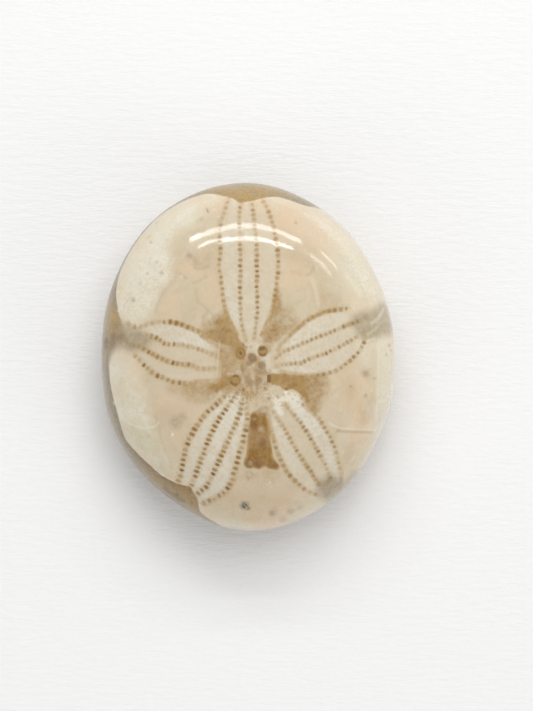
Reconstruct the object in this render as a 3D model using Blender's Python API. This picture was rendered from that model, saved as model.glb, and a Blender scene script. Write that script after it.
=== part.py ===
"""Fossil sea urchin: one solid stone, a low oval dome ground flat underneath and polished all over.

The front of the animal is +Y, its right side is +X and the stone rests on z = 0.
"""

import math

import bmesh
import bpy
from mathutils import Vector

MM = 0.001

# Driving dimensions
HEIGHT = 11.4 * MM
# Plan radius of the widest section at each hour, anticlockwise from +X, 30 degrees apart
HOUR_RADII = [r * MM for r in (12.7, 13.0, 14.1, 15.0, 14.5, 13.3, 12.65, 13.25, 13.95, 15.0, 14.35, 13.15)]
RIM_HEIGHT = 4.3 * MM  # the widest section stands this far above the resting face
BOWL_DEPTH = 5.1 * MM  # the underside would reach this far below the widest section if it weren't ground flat
TOP_ROUNDING = 0.80  # exponents of the dome's section: 1 is an ellipse, less is squarer in the shoulder
BASE_ROUNDING = 0.84
CROWN_OFFSET = Vector((0.3, -0.6)) * MM  # the highest point lies a little right of and behind the centre

MOUTH_CENTRE = Vector((0.2, 0.9)) * MM
MOUTH_HALF_SIZE = Vector((1.9, 1.5, 0.8)) * MM
VENT_CENTRE = Vector((0.1, -10.6)) * MM  # the vent opens underneath, near the rear margin
VENT_HEIGHT = 0.1 * MM
VENT_HALF_SIZE = Vector((1.35, 0.9, 0.75)) * MM
GROUND_LIMIT = 40 * MM  # side of the block that planes the underside off

# Mesh fineness
MERIDIANS = 84
PARALLELS = 46
HOLLOW_SEGMENTS = 20
HOLLOW_RINGS = 12

SHELL_COLOUR = (0.72, 0.62, 0.47, 1.0)
SHELL_ROUGHNESS = 0.2


def clear_scene():
    for obj in list(bpy.data.objects):
        bpy.data.objects.remove(obj, do_unlink=True)


def new_collection(name):
    collection = bpy.data.collections.new(name)
    bpy.context.scene.collection.children.link(collection)
    return collection


def plan_radius(azimuth):
    """Radius of the widest section, on a smooth closed curve through the hour radii."""
    hours = len(HOUR_RADII)
    place = (azimuth / math.tau * hours) % hours
    index = int(place)
    t = place - index
    before, here, after, beyond = (HOUR_RADII[(index + step) % hours] for step in (-1, 0, 1, 2))
    slope_in = (after - before) / 2
    slope_out = (beyond - here) / 2
    return (
        (2 * t**3 - 3 * t**2 + 1) * here
        + (t**3 - 2 * t**2 + t) * slope_in
        + (3 * t**2 - 2 * t**3) * after
        + (t**3 - t**2) * slope_out
    )


def dome_point(azimuth, latitude):
    """A point of the dome, with latitude 90 degrees at the crown and 0 at the widest section."""
    rounding = TOP_ROUNDING if latitude > 0 else BASE_ROUNDING
    spread = max(math.cos(latitude), 0.0) ** rounding
    rise = abs(math.sin(latitude)) ** rounding
    radius = plan_radius(azimuth) * spread
    if latitude > 0:
        z = RIM_HEIGHT + (HEIGHT - RIM_HEIGHT) * rise
        centre = CROWN_OFFSET * (1 - spread)
    else:
        z = RIM_HEIGHT - BOWL_DEPTH * rise
        centre = Vector((0, 0))
    return Vector((centre.x + radius * math.cos(azimuth), centre.y + radius * math.sin(azimuth), z))


def make_mesh_object(name, body, collection):
    mesh = bpy.data.meshes.new(name)
    body.to_mesh(mesh)
    body.free()
    obj = bpy.data.objects.new(name, mesh)
    collection.objects.link(obj)
    return obj


def centre_in_plan(body):
    """Moves the body so that the middle of its plan is the origin."""
    for axis in (0, 1):
        reach = [vertex.co[axis] for vertex in body.verts]
        shift = Vector((0, 0, 0))
        shift[axis] = -(min(reach) + max(reach)) / 2
        bmesh.ops.translate(body, verts=body.verts, vec=shift)


def make_dome(collection):
    """A sphere drawn out to the urchin's oval plan and flattened section."""
    body = bmesh.new()
    bmesh.ops.create_uvsphere(body, u_segments=MERIDIANS, v_segments=PARALLELS, radius=1)
    for vertex in body.verts:
        azimuth = math.atan2(vertex.co.y, vertex.co.x)
        latitude = math.asin(max(-1.0, min(1.0, vertex.co.z)))
        vertex.co = dome_point(azimuth, latitude)
    centre_in_plan(body)
    return make_mesh_object("urchin", body, collection)


def make_ground_block(collection):
    """The block taken away below the resting face."""
    body = bmesh.new()
    bmesh.ops.create_cube(body, size=GROUND_LIMIT)
    bmesh.ops.translate(body, verts=body.verts, vec=(0, 0, -GROUND_LIMIT / 2))
    return make_mesh_object("ground_block", body, collection)


def make_hollow(name, centre, half_size, collection):
    """An egg-shaped cutter that leaves a shallow dish."""
    body = bmesh.new()
    bmesh.ops.create_uvsphere(body, u_segments=HOLLOW_SEGMENTS, v_segments=HOLLOW_RINGS, radius=1)
    bmesh.ops.scale(body, verts=body.verts, vec=half_size)
    bmesh.ops.translate(body, verts=body.verts, vec=centre)
    return make_mesh_object(name, body, collection)


def cut(target, cutter):
    cutter.hide_render = True
    cutter.display_type = "WIRE"
    modifier = target.modifiers.new("cut " + cutter.name, "BOOLEAN")
    modifier.operation = "DIFFERENCE"
    modifier.solver = "EXACT"
    modifier.object = cutter


def shell_material():
    material = bpy.data.materials.new("polished calcite")
    material.use_nodes = True
    shader = material.node_tree.nodes["Principled BSDF"]
    shader.inputs["Base Color"].default_value = SHELL_COLOUR
    shader.inputs["Roughness"].default_value = SHELL_ROUGHNESS
    shader.inputs["Metallic"].default_value = 0.0
    material.diffuse_color = SHELL_COLOUR
    return material


def main():
    clear_scene()
    fossil = new_collection("fossil sea urchin")
    cutters = new_collection("cutters")
    urchin = make_dome(fossil)
    cut(urchin, make_ground_block(cutters))
    cut(urchin, make_hollow("mouth_hollow", MOUTH_CENTRE.to_3d(), MOUTH_HALF_SIZE, cutters))
    vent_centre = Vector((VENT_CENTRE.x, VENT_CENTRE.y, VENT_HEIGHT))
    cut(urchin, make_hollow("vent_hollow", vent_centre, VENT_HALF_SIZE, cutters))
    urchin.data.materials.append(shell_material())
    urchin.data.shade_smooth()


main()
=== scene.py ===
import math

import bpy
import numpy as np
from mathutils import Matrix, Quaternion, Vector, noise


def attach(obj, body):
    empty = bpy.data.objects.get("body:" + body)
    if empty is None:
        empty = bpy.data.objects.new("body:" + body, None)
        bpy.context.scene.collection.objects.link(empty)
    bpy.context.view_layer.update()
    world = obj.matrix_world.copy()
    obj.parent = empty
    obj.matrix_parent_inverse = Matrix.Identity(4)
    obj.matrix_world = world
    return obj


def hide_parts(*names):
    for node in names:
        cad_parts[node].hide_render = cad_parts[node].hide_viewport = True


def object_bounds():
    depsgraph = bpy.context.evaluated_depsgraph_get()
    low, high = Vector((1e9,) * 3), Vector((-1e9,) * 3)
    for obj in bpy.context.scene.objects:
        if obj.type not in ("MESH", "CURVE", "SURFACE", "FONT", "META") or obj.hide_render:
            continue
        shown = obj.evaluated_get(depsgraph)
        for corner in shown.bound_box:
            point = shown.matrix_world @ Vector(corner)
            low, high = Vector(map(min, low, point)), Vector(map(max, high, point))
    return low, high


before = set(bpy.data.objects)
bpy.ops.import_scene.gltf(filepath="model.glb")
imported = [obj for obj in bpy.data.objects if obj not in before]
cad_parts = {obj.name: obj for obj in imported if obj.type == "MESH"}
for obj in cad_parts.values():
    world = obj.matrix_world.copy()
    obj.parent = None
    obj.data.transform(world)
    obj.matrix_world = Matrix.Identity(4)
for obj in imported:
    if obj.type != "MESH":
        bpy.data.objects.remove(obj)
cadLow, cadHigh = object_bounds()
print("frame loaded: the stone is", [round(1000 * side, 2) for side in cadHigh - cadLow], "mm")

mm = 0.001  # lengths below are in millimetres; this turns them into metres

# the stone's shape, the same dome as the CAD solid
dome = {
    "height": 11.4,
    "rimHeight": 4.3,  # the widest section stands this far above the table
    "bowlDepth": 5.1,  # how far the underside would sink below the rim if it weren't ground flat
    "topRounding": 0.80,
    "baseRounding": 0.84,
    "hourRadii": (12.7, 13.0, 14.1, 15.0, 14.5, 13.3, 12.65, 13.25, 13.95, 15.0, 14.35, 13.15),
    "crownOffset": (0.3, -0.6),
    "groundEdge": 0.22,  # rounding where the flank meets the ground face
    "columns": 512,  # mesh columns round the stone
    "crownSpacing": 0.05,  # ring spacing by the apex, where the detail is finest
    "topSpacing": 0.128,
    "crownZone": (1.5, 4.5),  # lengths from the crown between which the first widens to the second
    "flankSpacing": 0.26,
    "baseSpacing": 0.75,
    "baseZone": (5, 8),  # lengths below the rim between which the flank's widens to the base's
}


def smoothStep(low, high, value):
    share = np.clip((value - low) / (high - low), 0, 1)
    return share * share * (3 - 2 * share)


def planRadius(azimuth):
    # radius of the widest section, on a smooth closed curve through the hour radii
    radii = np.array(dome["hourRadii"])
    hours = len(radii)
    place = (azimuth / math.tau * hours) % hours
    index = np.floor(place).astype(int)
    t = place - index
    before, here, after, beyond = (radii[(index + step) % hours] for step in (-1, 0, 1, 2))
    slopeIn = (after - before) / 2
    slopeOut = (beyond - here) / 2
    return (
        (2 * t**3 - 3 * t**2 + 1) * here
        + (t**3 - 2 * t**2 + t) * slopeIn
        + (3 * t**2 - 2 * t**3) * after
        + (t**3 - t**2) * slopeOut
    )


def planMiddle():
    azimuth = np.linspace(0, math.tau, 721)
    x = planRadius(azimuth) * np.cos(azimuth)
    y = planRadius(azimuth) * np.sin(azimuth)
    return np.array([(x.min() + x.max()) / 2, (y.min() + y.max()) / 2])


def domePoints(azimuth, latitude):
    # points of the stone: latitude 90 degrees at the crown, 0 at the rim, -90 in the middle underneath
    above = latitude > 0
    rounding = np.where(above, dome["topRounding"], dome["baseRounding"])
    spread = np.maximum(np.cos(latitude), 0) ** rounding
    rise = np.abs(np.sin(latitude)) ** rounding
    radius = planRadius(azimuth) * spread
    crownShift = np.where(above, 1 - spread, 0)
    x = dome["crownOffset"][0] * crownShift + radius * np.cos(azimuth) - domeMiddle[0]
    y = dome["crownOffset"][1] * crownShift + radius * np.sin(azimuth) - domeMiddle[1]
    top = dome["rimHeight"] + (dome["height"] - dome["rimHeight"]) * rise
    bowl = dome["rimHeight"] - dome["bowlDepth"] * rise
    ground = (bowl + np.sqrt(bowl**2 + dome["groundEdge"] ** 2)) / 2  # bowl, levelled off at the table
    return np.stack([x, y, np.where(above, top, ground)], -1)


def ringLatitudes():
    # latitudes of the mesh rings, spaced along the section by the spacings above
    latitude = np.linspace(math.pi / 2, -math.pi / 2, 6001)
    section = domePoints(np.zeros_like(latitude), latitude)
    length = np.concatenate([[0], np.cumsum(np.hypot(np.diff(section[:, 0]), np.diff(section[:, 2])))])
    rimLength = np.interp(0, -latitude, length)
    spots = [dome["crownSpacing"]]
    while spots[-1] < length[-1]:
        here = spots[-1]
        if here < rimLength:
            near, far = dome["crownSpacing"], dome["topSpacing"]
            share = smoothStep(*dome["crownZone"], here)
        else:
            near, far = dome["flankSpacing"], dome["baseSpacing"]
            low, high = dome["baseZone"]
            share = smoothStep(rimLength + low, rimLength + high, here)
        spots.append(here + (near + (far - near) * share))
    spots = np.array(spots[:-1])
    spots = spots[spots < length[-1] - dome["baseSpacing"] / 2]
    return np.interp(spots, length, latitude), spots, rimLength, length[-1]


domeMiddle = planMiddle()

azimuths = np.arange(dome["columns"]) / dome["columns"] * math.tau
latitudes, ringLengths, rimLength, sectionLength = ringLatitudes()
azimuthGrid, latitudeGrid = np.meshgrid(azimuths, latitudes)
lengthGrid = np.repeat(ringLengths[:, None], dome["columns"], axis=1)
# every vertex in order: crown, rings, middle of the underside
azimuth = np.concatenate([[0], azimuthGrid.ravel(), [0]])
latitude = np.concatenate([[math.pi / 2], latitudeGrid.ravel(), [-math.pi / 2]])
reach = np.concatenate([[0], lengthGrid.ravel(), [sectionLength]])  # length along the section from the crown
stone = domePoints(azimuth, latitude)
plan = stone[:, :2]
onTop = latitude >= 0
belowRim = np.maximum(reach - rimLength, 0)
print("stone laid out:", len(stone), "vertices,", len(latitudes), "rings")


# curves and outlines in plan
def throughPoints(points, closed=False, runs=8):
    # a smooth curve through a few points, as short straight runs; extra columns such as softness go along
    points = np.array(points, float)
    count = len(points)
    if closed:
        padded = np.vstack([points[-1], points, points[:2]])
        spans = count
    else:
        padded = np.vstack([2 * points[0] - points[1], points, 2 * points[-1] - points[-2]])
        spans = count - 1
    curve = []
    for span in range(spans):
        before, here, after, beyond = padded[span : span + 4]
        for t in np.arange(runs) / runs:
            curve.append(
                here
                + 0.5 * t * (after - before)
                + t**2 * (before - 2.5 * here + 2 * after - 0.5 * beyond)
                + t**3 * (1.5 * (here - after) + 0.5 * (beyond - before))
            )
    curve.append(padded[1] if closed else points[-1])
    return np.array(curve)


def nearestOnCurve(curve, places):
    # for each place: segment, share along it, signed distance (left of the curve is positive)
    start = curve[:-1, :2]
    step = np.diff(curve[:, :2], axis=0)
    run = np.maximum((step**2).sum(1), 1e-12)
    gap = places[:, None] - start
    share = np.clip((gap * step).sum(-1) / run, 0, 1)
    off = gap - share[..., None] * step
    squared = (off**2).sum(-1)
    segment = squared.argmin(1)
    rows = np.arange(len(places))
    off = off[rows, segment]
    step = step[segment]
    side = step[:, 0] * off[:, 1] - step[:, 1] * off[:, 0]
    return segment, share[rows, segment], np.copysign(np.sqrt(squared[rows, segment]), side)


def nearPlaces(points, margin, where):
    # vertices inside the points' box, with a margin
    points = np.array(points, float)[:, :2]
    low, high = points.min(0) - margin, points.max(0) + margin
    return np.flatnonzero(where & ((plan > low) & (plan < high)).all(1))


def outlineMask(outline):
    # 1 inside a smooth closed outline of (x, y, softness) points, fading to 0 over the softness at each edge
    softest = max(point[2] for point in outline)
    chosen = nearPlaces(outline, softest + 0.1, onTop)
    curve = throughPoints(outline, closed=True)
    places = plan[chosen]
    segment, share, distance = nearestOnCurve(curve, places)
    softness = curve[segment, 2] + share * (curve[segment + 1, 2] - curve[segment, 2])
    inside = np.zeros(len(places), bool)
    for (x0, y0), (x1, y1) in zip(curve[:-1, :2], curve[1:, :2]):
        if y0 != y1:
            crosses = ((y0 > places[:, 1]) != (y1 > places[:, 1])) & (
                places[:, 0] < (x1 - x0) * (places[:, 1] - y0) / (y1 - y0) + x0
            )
            inside ^= crosses
    signed = np.where(inside, np.abs(distance), -np.abs(distance))
    mask = np.zeros(len(stone))
    mask[chosen] = smoothStep(-softness, softness, signed)
    return mask


def spotMask(centre, radii, turn=0.0, edge=0.3):
    # 1 inside an oval spot; turn in degrees, edge as a share of the radius
    angle = math.radians(turn)
    gap = plan - np.array(centre)
    along = (gap[:, 0] * math.cos(angle) + gap[:, 1] * math.sin(angle)) / radii[0]
    across = (gap[:, 1] * math.cos(angle) - gap[:, 0] * math.sin(angle)) / radii[1]
    return smoothStep(1 + edge, 1 - edge, np.hypot(along, across)) * onTop


def lineMask(points, width, edge=0.1):
    # 1 on a thin line of the given full width, fading out at its two ends
    chosen = nearPlaces(points, width + edge, onTop)
    curve = throughPoints(points)
    segment, share, distance = nearestOnCurve(curve, plan[chosen])
    along = (segment + share) / (len(curve) - 1)
    ends = smoothStep(0, 0.12, along) * smoothStep(1, 0.88, along)
    mask = np.zeros(len(stone))
    mask[chosen] = smoothStep(width / 2 + edge, width / 2, np.abs(distance)) * ends
    return mask


def strongestOf(masks):
    # the strongest of several masks at each place
    strongest = np.zeros(len(stone))
    for mask in masks:
        np.maximum(strongest, mask, out=strongest)
    return strongest


# the five petals, each with four rows of pores from the apex outward
# points: plan places of the row; pores: how many; strength and smear: (pore number, value) pairs
petals = {
    "front": {
        "rows": [
            {
                "pores": 25,
                "points": [(-1.0, 1.93), (-1.87, 3.97), (-2.25, 6.6), (-2.4, 7.7), (-2.3, 8.6),
                           (-2.35, 10.84), (-1.61, 13.51)],
                "strength": [(0, 0.3), (3, 0.7), (8, 1.0), (17, 0.9), (19, 0.6), (24, 0.75)],
                "smear": [(0, 0.9), (4, 0.8), (7, 0.4), (9, 0.15), (24, 0.0)],
            },
            {
                "pores": 27,
                "points": [(-0.12, 1.31), (-0.51, 2.92), (-0.65, 5.19), (-0.61, 8.45), (-0.73, 11.73),
                           (-0.57, 13.07)],
                "strength": [(0, 0.7), (5, 1.0), (16, 1.0), (19, 0.55), (26, 0.75)],
                "smear": [(0, 0.1), (9, 0.2), (14, 0.35), (20, 0.1), (26, 0.0)],
            },
            {
                "pores": 27,
                "points": [(0.52, 1.52), (0.78, 3.58), (0.76, 6.2), (0.74, 9.02), (0.39, 12.85)],
                "strength": [(0, 0.8), (6, 1.0), (17, 1.0), (20, 0.5), (26, 0.6)],
                "smear": [(0, 0.1), (8, 0.3), (16, 0.3), (20, 0.1), (26, 0.0)],
            },
            {
                "pores": 25,
                "points": [(1.24, 1.93), (2.14, 4.28), (2.54, 8.36), (1.98, 11.52), (1.34, 13.12)],
                "strength": [(0, 0.4), (7, 0.8), (9, 1.0), (16, 0.9), (19, 0.6), (24, 0.75)],
                "smear": [(0, 0.9), (7, 0.9), (9, 0.4), (14, 0.2), (24, 0.0)],
            },
        ],
        "poreAcross": 0.17,
        "fullAt": 6,
        "rowTones": (0.75, 0.95, 1.0, 0.9),
        "whiteness": (0.6, 0.45, 0.35),  # of the first strip, the middle and the second strip
    },
    "rightFront": {
        "rows": [
            {
                "pores": 15,
                "points": [(2.6, 0.68), (2.93, 1.18), (4.86, 2.93), (6.56, 3.75), (8.31, 4.07)],
                "strength": [(0, 0.3), (5, 0.7), (14, 0.9)],
                "smear": [(0, 0.5), (4, 0.9), (12, 1.0), (14, 0.3)],
            },
            {
                "pores": 19,
                "points": [(2.39, -0.07), (2.97, 0.39), (5.4, 1.42), (7.79, 2.41), (8.6, 2.74), (9.26, 2.96)],
                "strength": [(0, 0.4), (3, 0.9), (11, 1.0), (13.4, 0.9), (13.6, 0.2), (14.4, 0.2),
                             (14.6, 0.9), (18, 0.7)],
                "smear": [(0, 0.0), (4, 0.2), (13, 0.2), (15, 0.8), (18, 0.7)],
            },
            {
                "pores": 19,
                "points": [(2.47, -0.77), (3.7, -0.61), (4.51, -0.53), (5.48, -0.06), (6.59, 0.28),
                           (9.07, 1.56)],
                "strength": [(0, 0.5), (4, 1.0), (7.4, 0.9), (7.6, 0.1), (8.4, 0.1), (8.6, 0.9), (12.4, 0.9),
                             (12.6, 0.1), (13.4, 0.1), (13.6, 0.9), (18, 0.9)],
                "smear": [(0, 0.2), (7, 0.2), (10, 0.4), (18, 0.3)],
            },
            {
                "pores": 17,
                "points": [(2.93, -1.25), (4.69, -1.58), (6.66, -1.37), (7.62, -1.06), (9.26, 0.26),
                           (9.79, 1.22)],
                "strength": [(0, 0.2), (5, 0.6), (8, 1.0), (16, 1.0)],
                "smear": [(0, 0.5), (6, 0.5), (9, 0.2), (16, 0.2)],
            },
        ],
        "poreAcross": 0.17,
        "fullAt": 4,
        "rowTones": (0.8, 0.8, 0.85, 0.8),
        "whiteness": (0.7, 0.48, 0.6),
    },
    "rightRear": {
        "rows": [
            {
                "pores": 17,
                "points": [(1.72, -4.51), (1.9, -5.89), (2.6, -8.27), (3.44, -9.89), (4.84, -11.25),
                           (5.71, -11.67)],
                "strength": [(0, 0.1), (3, 0.4), (5, 0.9), (16, 1.0)],
                "smear": [(0, 0.4), (3, 0.7), (13, 0.7), (14, 0.0), (16, 0.0)],
            },
            {
                "pores": 18,
                "points": [(2.15, -4.71), (3.27, -6.39), (4.25, -8.16), (5.99, -10.75)],
                "strength": [(0, 0.9), (5, 1.0), (12, 0.9), (17, 0.6)],
                "smear": [(0, 0.1), (8, 0.3), (12, 0.8), (17, 0.8)],
            },
            {
                "pores": 20,
                "points": [(3.13, -4.01), (4.75, -6.01), (5.83, -7.83), (6.9, -9.93), (6.85, -10.63)],
                "strength": [(0, 1.0), (13.4, 1.0), (13.6, 0.1), (14.4, 0.1), (14.6, 0.8), (19, 0.6)],
                "smear": [(0, 0.3), (10, 0.6), (13, 0.5), (14, 0.0), (19, 0.1)],
            },
            {
                "pores": 18,
                "points": [(4.55, -3.44), (4.75, -4.08), (5.82, -5.09), (6.5, -6.1), (7.2, -7.4),
                           (7.86, -9.75), (7.91, -10.32)],
                "strength": [(0, 0.8), (2, 0.5), (4, 0.9), (12.4, 1.0), (12.6, 0.1), (13.4, 0.1),
                             (13.6, 0.9), (17, 0.5)],
                "smear": [(0, 0.2), (2, 0.5), (8, 0.4), (12, 0.3), (13, 0.0), (17, 0.0)],
            },
        ],
        "poreAcross": 0.18,
        "fullAt": 3,
        "rowTones": (0.7, 0.78, 0.78, 0.72),
        "whiteness": (0.55, 0.15, 0.9),
    },
    "leftRear": {
        "rows": [
            {
                "pores": 22,
                "points": [(-0.9, -2.5), (-1.87, -3.27), (-3.26, -4.6), (-4.45, -6.08), (-5.2, -7.7),
                           (-5.47, -9.09), (-5.87, -10.51)],
                "strength": [(0, 0.4), (3, 0.8), (5, 1.0), (20, 1.0), (21, 0.7)],
                "smear": [(0, 0.1), (21, 0.1)],
            },
            {
                "pores": 24,
                "points": [(-0.45, -2.4), (-1.03, -3.25), (-2.7, -5.69), (-3.75, -8.2), (-4.76, -10.87)],
                "strength": [(0, 0.4), (3, 0.8), (6, 1.0), (21.4, 1.0), (21.6, 0.1), (22.4, 0.1),
                             (22.6, 0.6), (23, 0.6)],
                "smear": [(0, 0.0), (23, 0.15)],
            },
            {
                "pores": 24,
                "points": [(-0.32, -2.7), (-0.4, -3.5), (-0.83, -5.13), (-2.1, -8.0), (-3.31, -10.64),
                           (-4.23, -11.58)],
                "strength": [(0, 0.4), (3, 0.9), (18.4, 1.0), (18.6, 0.1), (19.4, 0.1), (19.6, 1.0),
                             (23, 0.6)],
                "smear": [(0, 0.0), (10, 0.3), (18, 0.3), (23, 0.1)],
            },
            {
                "pores": 23,
                "points": [(-0.12, -3.4), (-0.11, -4.46), (-0.1, -5.7), (-0.75, -8.3), (-1.5, -10.78),
                           (-2.49, -11.76), (-3.68, -12.43)],
                "strength": [(0, 0.3), (2, 0.7), (4, 1.0), (18, 1.0), (20, 0.5), (22, 0.9)],
                "smear": [(0, 0.0), (22, 0.1)],
            },
        ],
        "poreAcross": 0.225,
        "fullAt": 5,
        "rowTones": (1.15, 1.2, 1.2, 1.1),
        "whiteness": (0.75, 1.0, 0.9),
    },
    "leftFront": {
        "rows": [
            {
                "pores": 17,
                "points": [(-2.51, 0.93), (-3.73, 1.65), (-4.03, 2.02), (-5.92, 2.76), (-7.65, 2.87),
                           (-9.26, 2.47), (-10.02, 2.74)],
                "strength": [(0, 0.2), (2, 0.8), (9, 1.0), (10.4, 0.5), (11, 0.0), (12, 0.3), (16, 0.6)],
                "smear": [(0, 0.4), (3, 0.8), (8, 0.9), (10, 0.3), (11, 0.0), (16, 0.2)],
            },
            {
                "pores": 17,
                "points": [(-2.26, -0.12), (-3.86, 0.55), (-5.4, 0.95), (-6.86, 1.08), (-7.58, 1.49),
                           (-8.5, 1.86)],
                "strength": [(0, 0.0), (2, 0.5), (5.4, 0.9), (5.6, 0.2), (6.4, 0.2), (6.6, 0.9), (8.4, 0.9),
                             (8.6, 0.2),
                             (9.4, 0.2), (9.6, 1.0), (15, 1.0), (16, 0.5)],
                "smear": [(0, 0.0), (9, 0.1), (11, 0.5), (15, 0.7), (16, 0.3)],
            },
            {
                "pores": 19,
                "points": [(-2.34, -0.99), (-3.97, -1.03), (-4.74, -0.73), (-5.92, -0.63), (-7.47, -0.09),
                           (-8.93, 0.73), (-10.05, 1.02)],
                "strength": [(0, 0.0), (2, 0.4), (4, 0.9), (9, 1.0), (15, 0.9), (18, 0.1)],
                "smear": [(0, 0.0), (3, 0.2), (6, 0.7), (14, 0.9), (18, 0.3)],
            },
            {
                "pores": 17,
                "points": [(-2.34, -2.04), (-4.34, -2.13), (-4.84, -2.27), (-6.32, -2.14), (-6.86, -1.87),
                           (-8.02, -1.33), (-9.46, 0.04)],
                "strength": [(0, 0.0), (3, 0.4), (6, 0.9), (14, 1.0), (16, 0.6)],
                "smear": [(0, 0.5), (5, 0.7), (12, 0.5), (16, 0.2)],
            },
        ],
        "poreAcross": 0.195,
        "fullAt": 4,
        "rowTones": (0.95, 0.85, 1.0, 0.95),
        "whiteness": (0.7, 0.12, 0.2),
    },
}
# how every row and every pale strip between two rows is laid
rowStyle = {
    "reach": 0.36,  # how far from a row its pores are worked out
    "fade": 0.08,  # over this much of the reach they fade out
    "overrun": 0.9,  # a row is drawn on this far past both ends
    "margin": 2.4,  # how far from a row places are still numbered
    "numberGap": 40,  # keeps the pore numbers of different rows apart
    "joined": 0.4,  # a faint brown line joins the pores of every row
    "firstSize": 0.62,  # size of the pores at the apex, as a share of full size
    "firstStrength": 0.5,
    "strongFrom": 9,  # the pore number from which a row has its full strength
    "lineWidth": 1.15,  # half width of the joining line, in pore widths
    "lineSoftness": 0.12,
    "stripEdge": 0.16,  # softness of a pale strip beside its rows
    "stripWidest": 2.6,  # no strip where its two rows stand further apart
    "stripGains": (0.8, 0.4),  # whiteness far from the apex, and what is added beside it
}


def curveLength(curve):
    return np.hypot(*np.diff(curve[:, :2], axis=0).T).sum()


def rowPlaces(row):
    # pore number and signed distance of every vertex near a row, with the row drawn on a little at both ends
    curve = throughPoints(row["points"], runs=12)
    lead = curve[0] - curve[1]
    tail = curve[-1] - curve[-2]
    overrun = rowStyle["overrun"]
    start = curve[0] + lead / np.hypot(*lead) * overrun
    end = curve[-1] + tail / np.hypot(*tail) * overrun
    longCurve = np.vstack([start, curve, end])
    chosen = nearPlaces(row["points"], rowStyle["margin"], onTop)
    segment, share, distance = nearestOnCurve(longCurve, plan[chosen])
    lengths = np.concatenate([[0], np.cumsum(np.hypot(*np.diff(longCurve, axis=0).T))])
    along = lengths[segment] + share * (lengths[segment + 1] - lengths[segment]) - overrun
    number = along / curveLength(curve) * (row["pores"] - 1)
    return chosen, number, distance


def keyed(pairs, number):
    keys, values = zip(*pairs)
    return np.interp(number, keys, values)


fields = {
    "poresEven": np.zeros((len(stone), 3)),  # pore number, distance across in pore widths, strength
    "poresOdd": np.zeros((len(stone), 3)),
    "strip": np.zeros((len(stone), 3)),  # stripe number, share across the strip, mask
    "smear": np.zeros(len(stone)),
}
insidePetal = np.zeros(len(stone))


def grown(first, share):
    return first + (1 - first) * share


def layPores(row, petal, seed, chosen, number, distance, tone):
    # first and third rows go to one field and the other two to another, so that fields never meet on a pore
    last = row["pores"] - 1
    reachHere = rowStyle["reach"]
    within = smoothStep(-0.75, -0.5, number) * smoothStep(last + 0.75, last + 0.5, number)
    near = np.abs(distance) < reachHere
    growth = grown(rowStyle["firstSize"], smoothStep(-1, petal["fullAt"], number))
    strengthened = grown(rowStyle["firstStrength"], smoothStep(1, rowStyle["strongFrom"], number))
    strength = tone * keyed(row["strength"], number) * within * strengthened
    strength = strength * smoothStep(reachHere, reachHere - rowStyle["fade"], np.abs(distance))
    field = fields["poresEven" if seed % 2 == 0 else "poresOdd"]
    stronger = near & (strength > field[chosen, 2])
    picked = chosen[stronger]
    field[picked, 0] = (number + rowStyle["numberGap"] * seed)[stronger]
    field[picked, 1] = (distance / (petal["poreAcross"] * growth))[stronger]
    field[picked, 2] = strength[stronger]
    halfWidth = petal["poreAcross"] * rowStyle["lineWidth"]
    softness = rowStyle["lineSoftness"]
    band = np.maximum(keyed(row["smear"], number), rowStyle["joined"]) * within
    band = band * smoothStep(halfWidth + softness, halfWidth - softness, np.abs(distance))
    fields["smear"][chosen] = np.maximum(fields["smear"][chosen], band)


def layStrip(rows, signed, numbers, first, whiteness):
    # the pale strip between two rows: where a place has one row on its left and the other on its right
    second = first + 1
    a, b = signed[first], signed[second]
    both = np.flatnonzero(a * b < 0)
    a, b = np.abs(a[both]), np.abs(b[both])
    share = a / (a + b)
    number = numbers[first][both]
    last = rows[first]["pores"] - 1
    ends = smoothStep(-0.5, 2.5, number) * smoothStep(last + 1.2, last - 1.0, number)
    widest = rowStyle["stripWidest"]
    gain, apexGain = rowStyle["stripGains"]
    mask = smoothStep(0, rowStyle["stripEdge"], np.minimum(a, b)) * ends
    mask = mask * smoothStep(widest, widest - 0.3, a + b) * whiteness
    mask *= gain + apexGain * smoothStep(13, 3, number)
    better = mask > fields["strip"][both, 2]
    cells = both[better]
    fields["strip"][cells, 0] = (number * (1 - share) + numbers[second][both] * share)[better]
    fields["strip"][cells, 1] = share[better]
    fields["strip"][cells, 2] = mask[better]


def layPetal(petal, seed):
    signed = np.full((4, len(stone)), np.nan)
    numbers = np.zeros((4, len(stone)))
    for index, row in enumerate(petal["rows"]):
        chosen, number, distance = rowPlaces(row)
        signed[index, chosen] = distance
        numbers[index, chosen] = number
        layPores(row, petal, seed + index, chosen, number, distance, petal["rowTones"][index])
    for first, whiteness in enumerate(petal["whiteness"]):
        layStrip(petal["rows"], signed, numbers, first, whiteness)
    outline = [(x, y, 0.12) for x, y in petal["rows"][0]["points"] + petal["rows"][3]["points"][::-1]]
    np.maximum(insidePetal, outlineMask(outline), out=insidePetal)


for order, (petalName, petal) in enumerate(petals.items()):
    layPetal(petal, 4 * order)
    print("petal laid out:", petalName)


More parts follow.
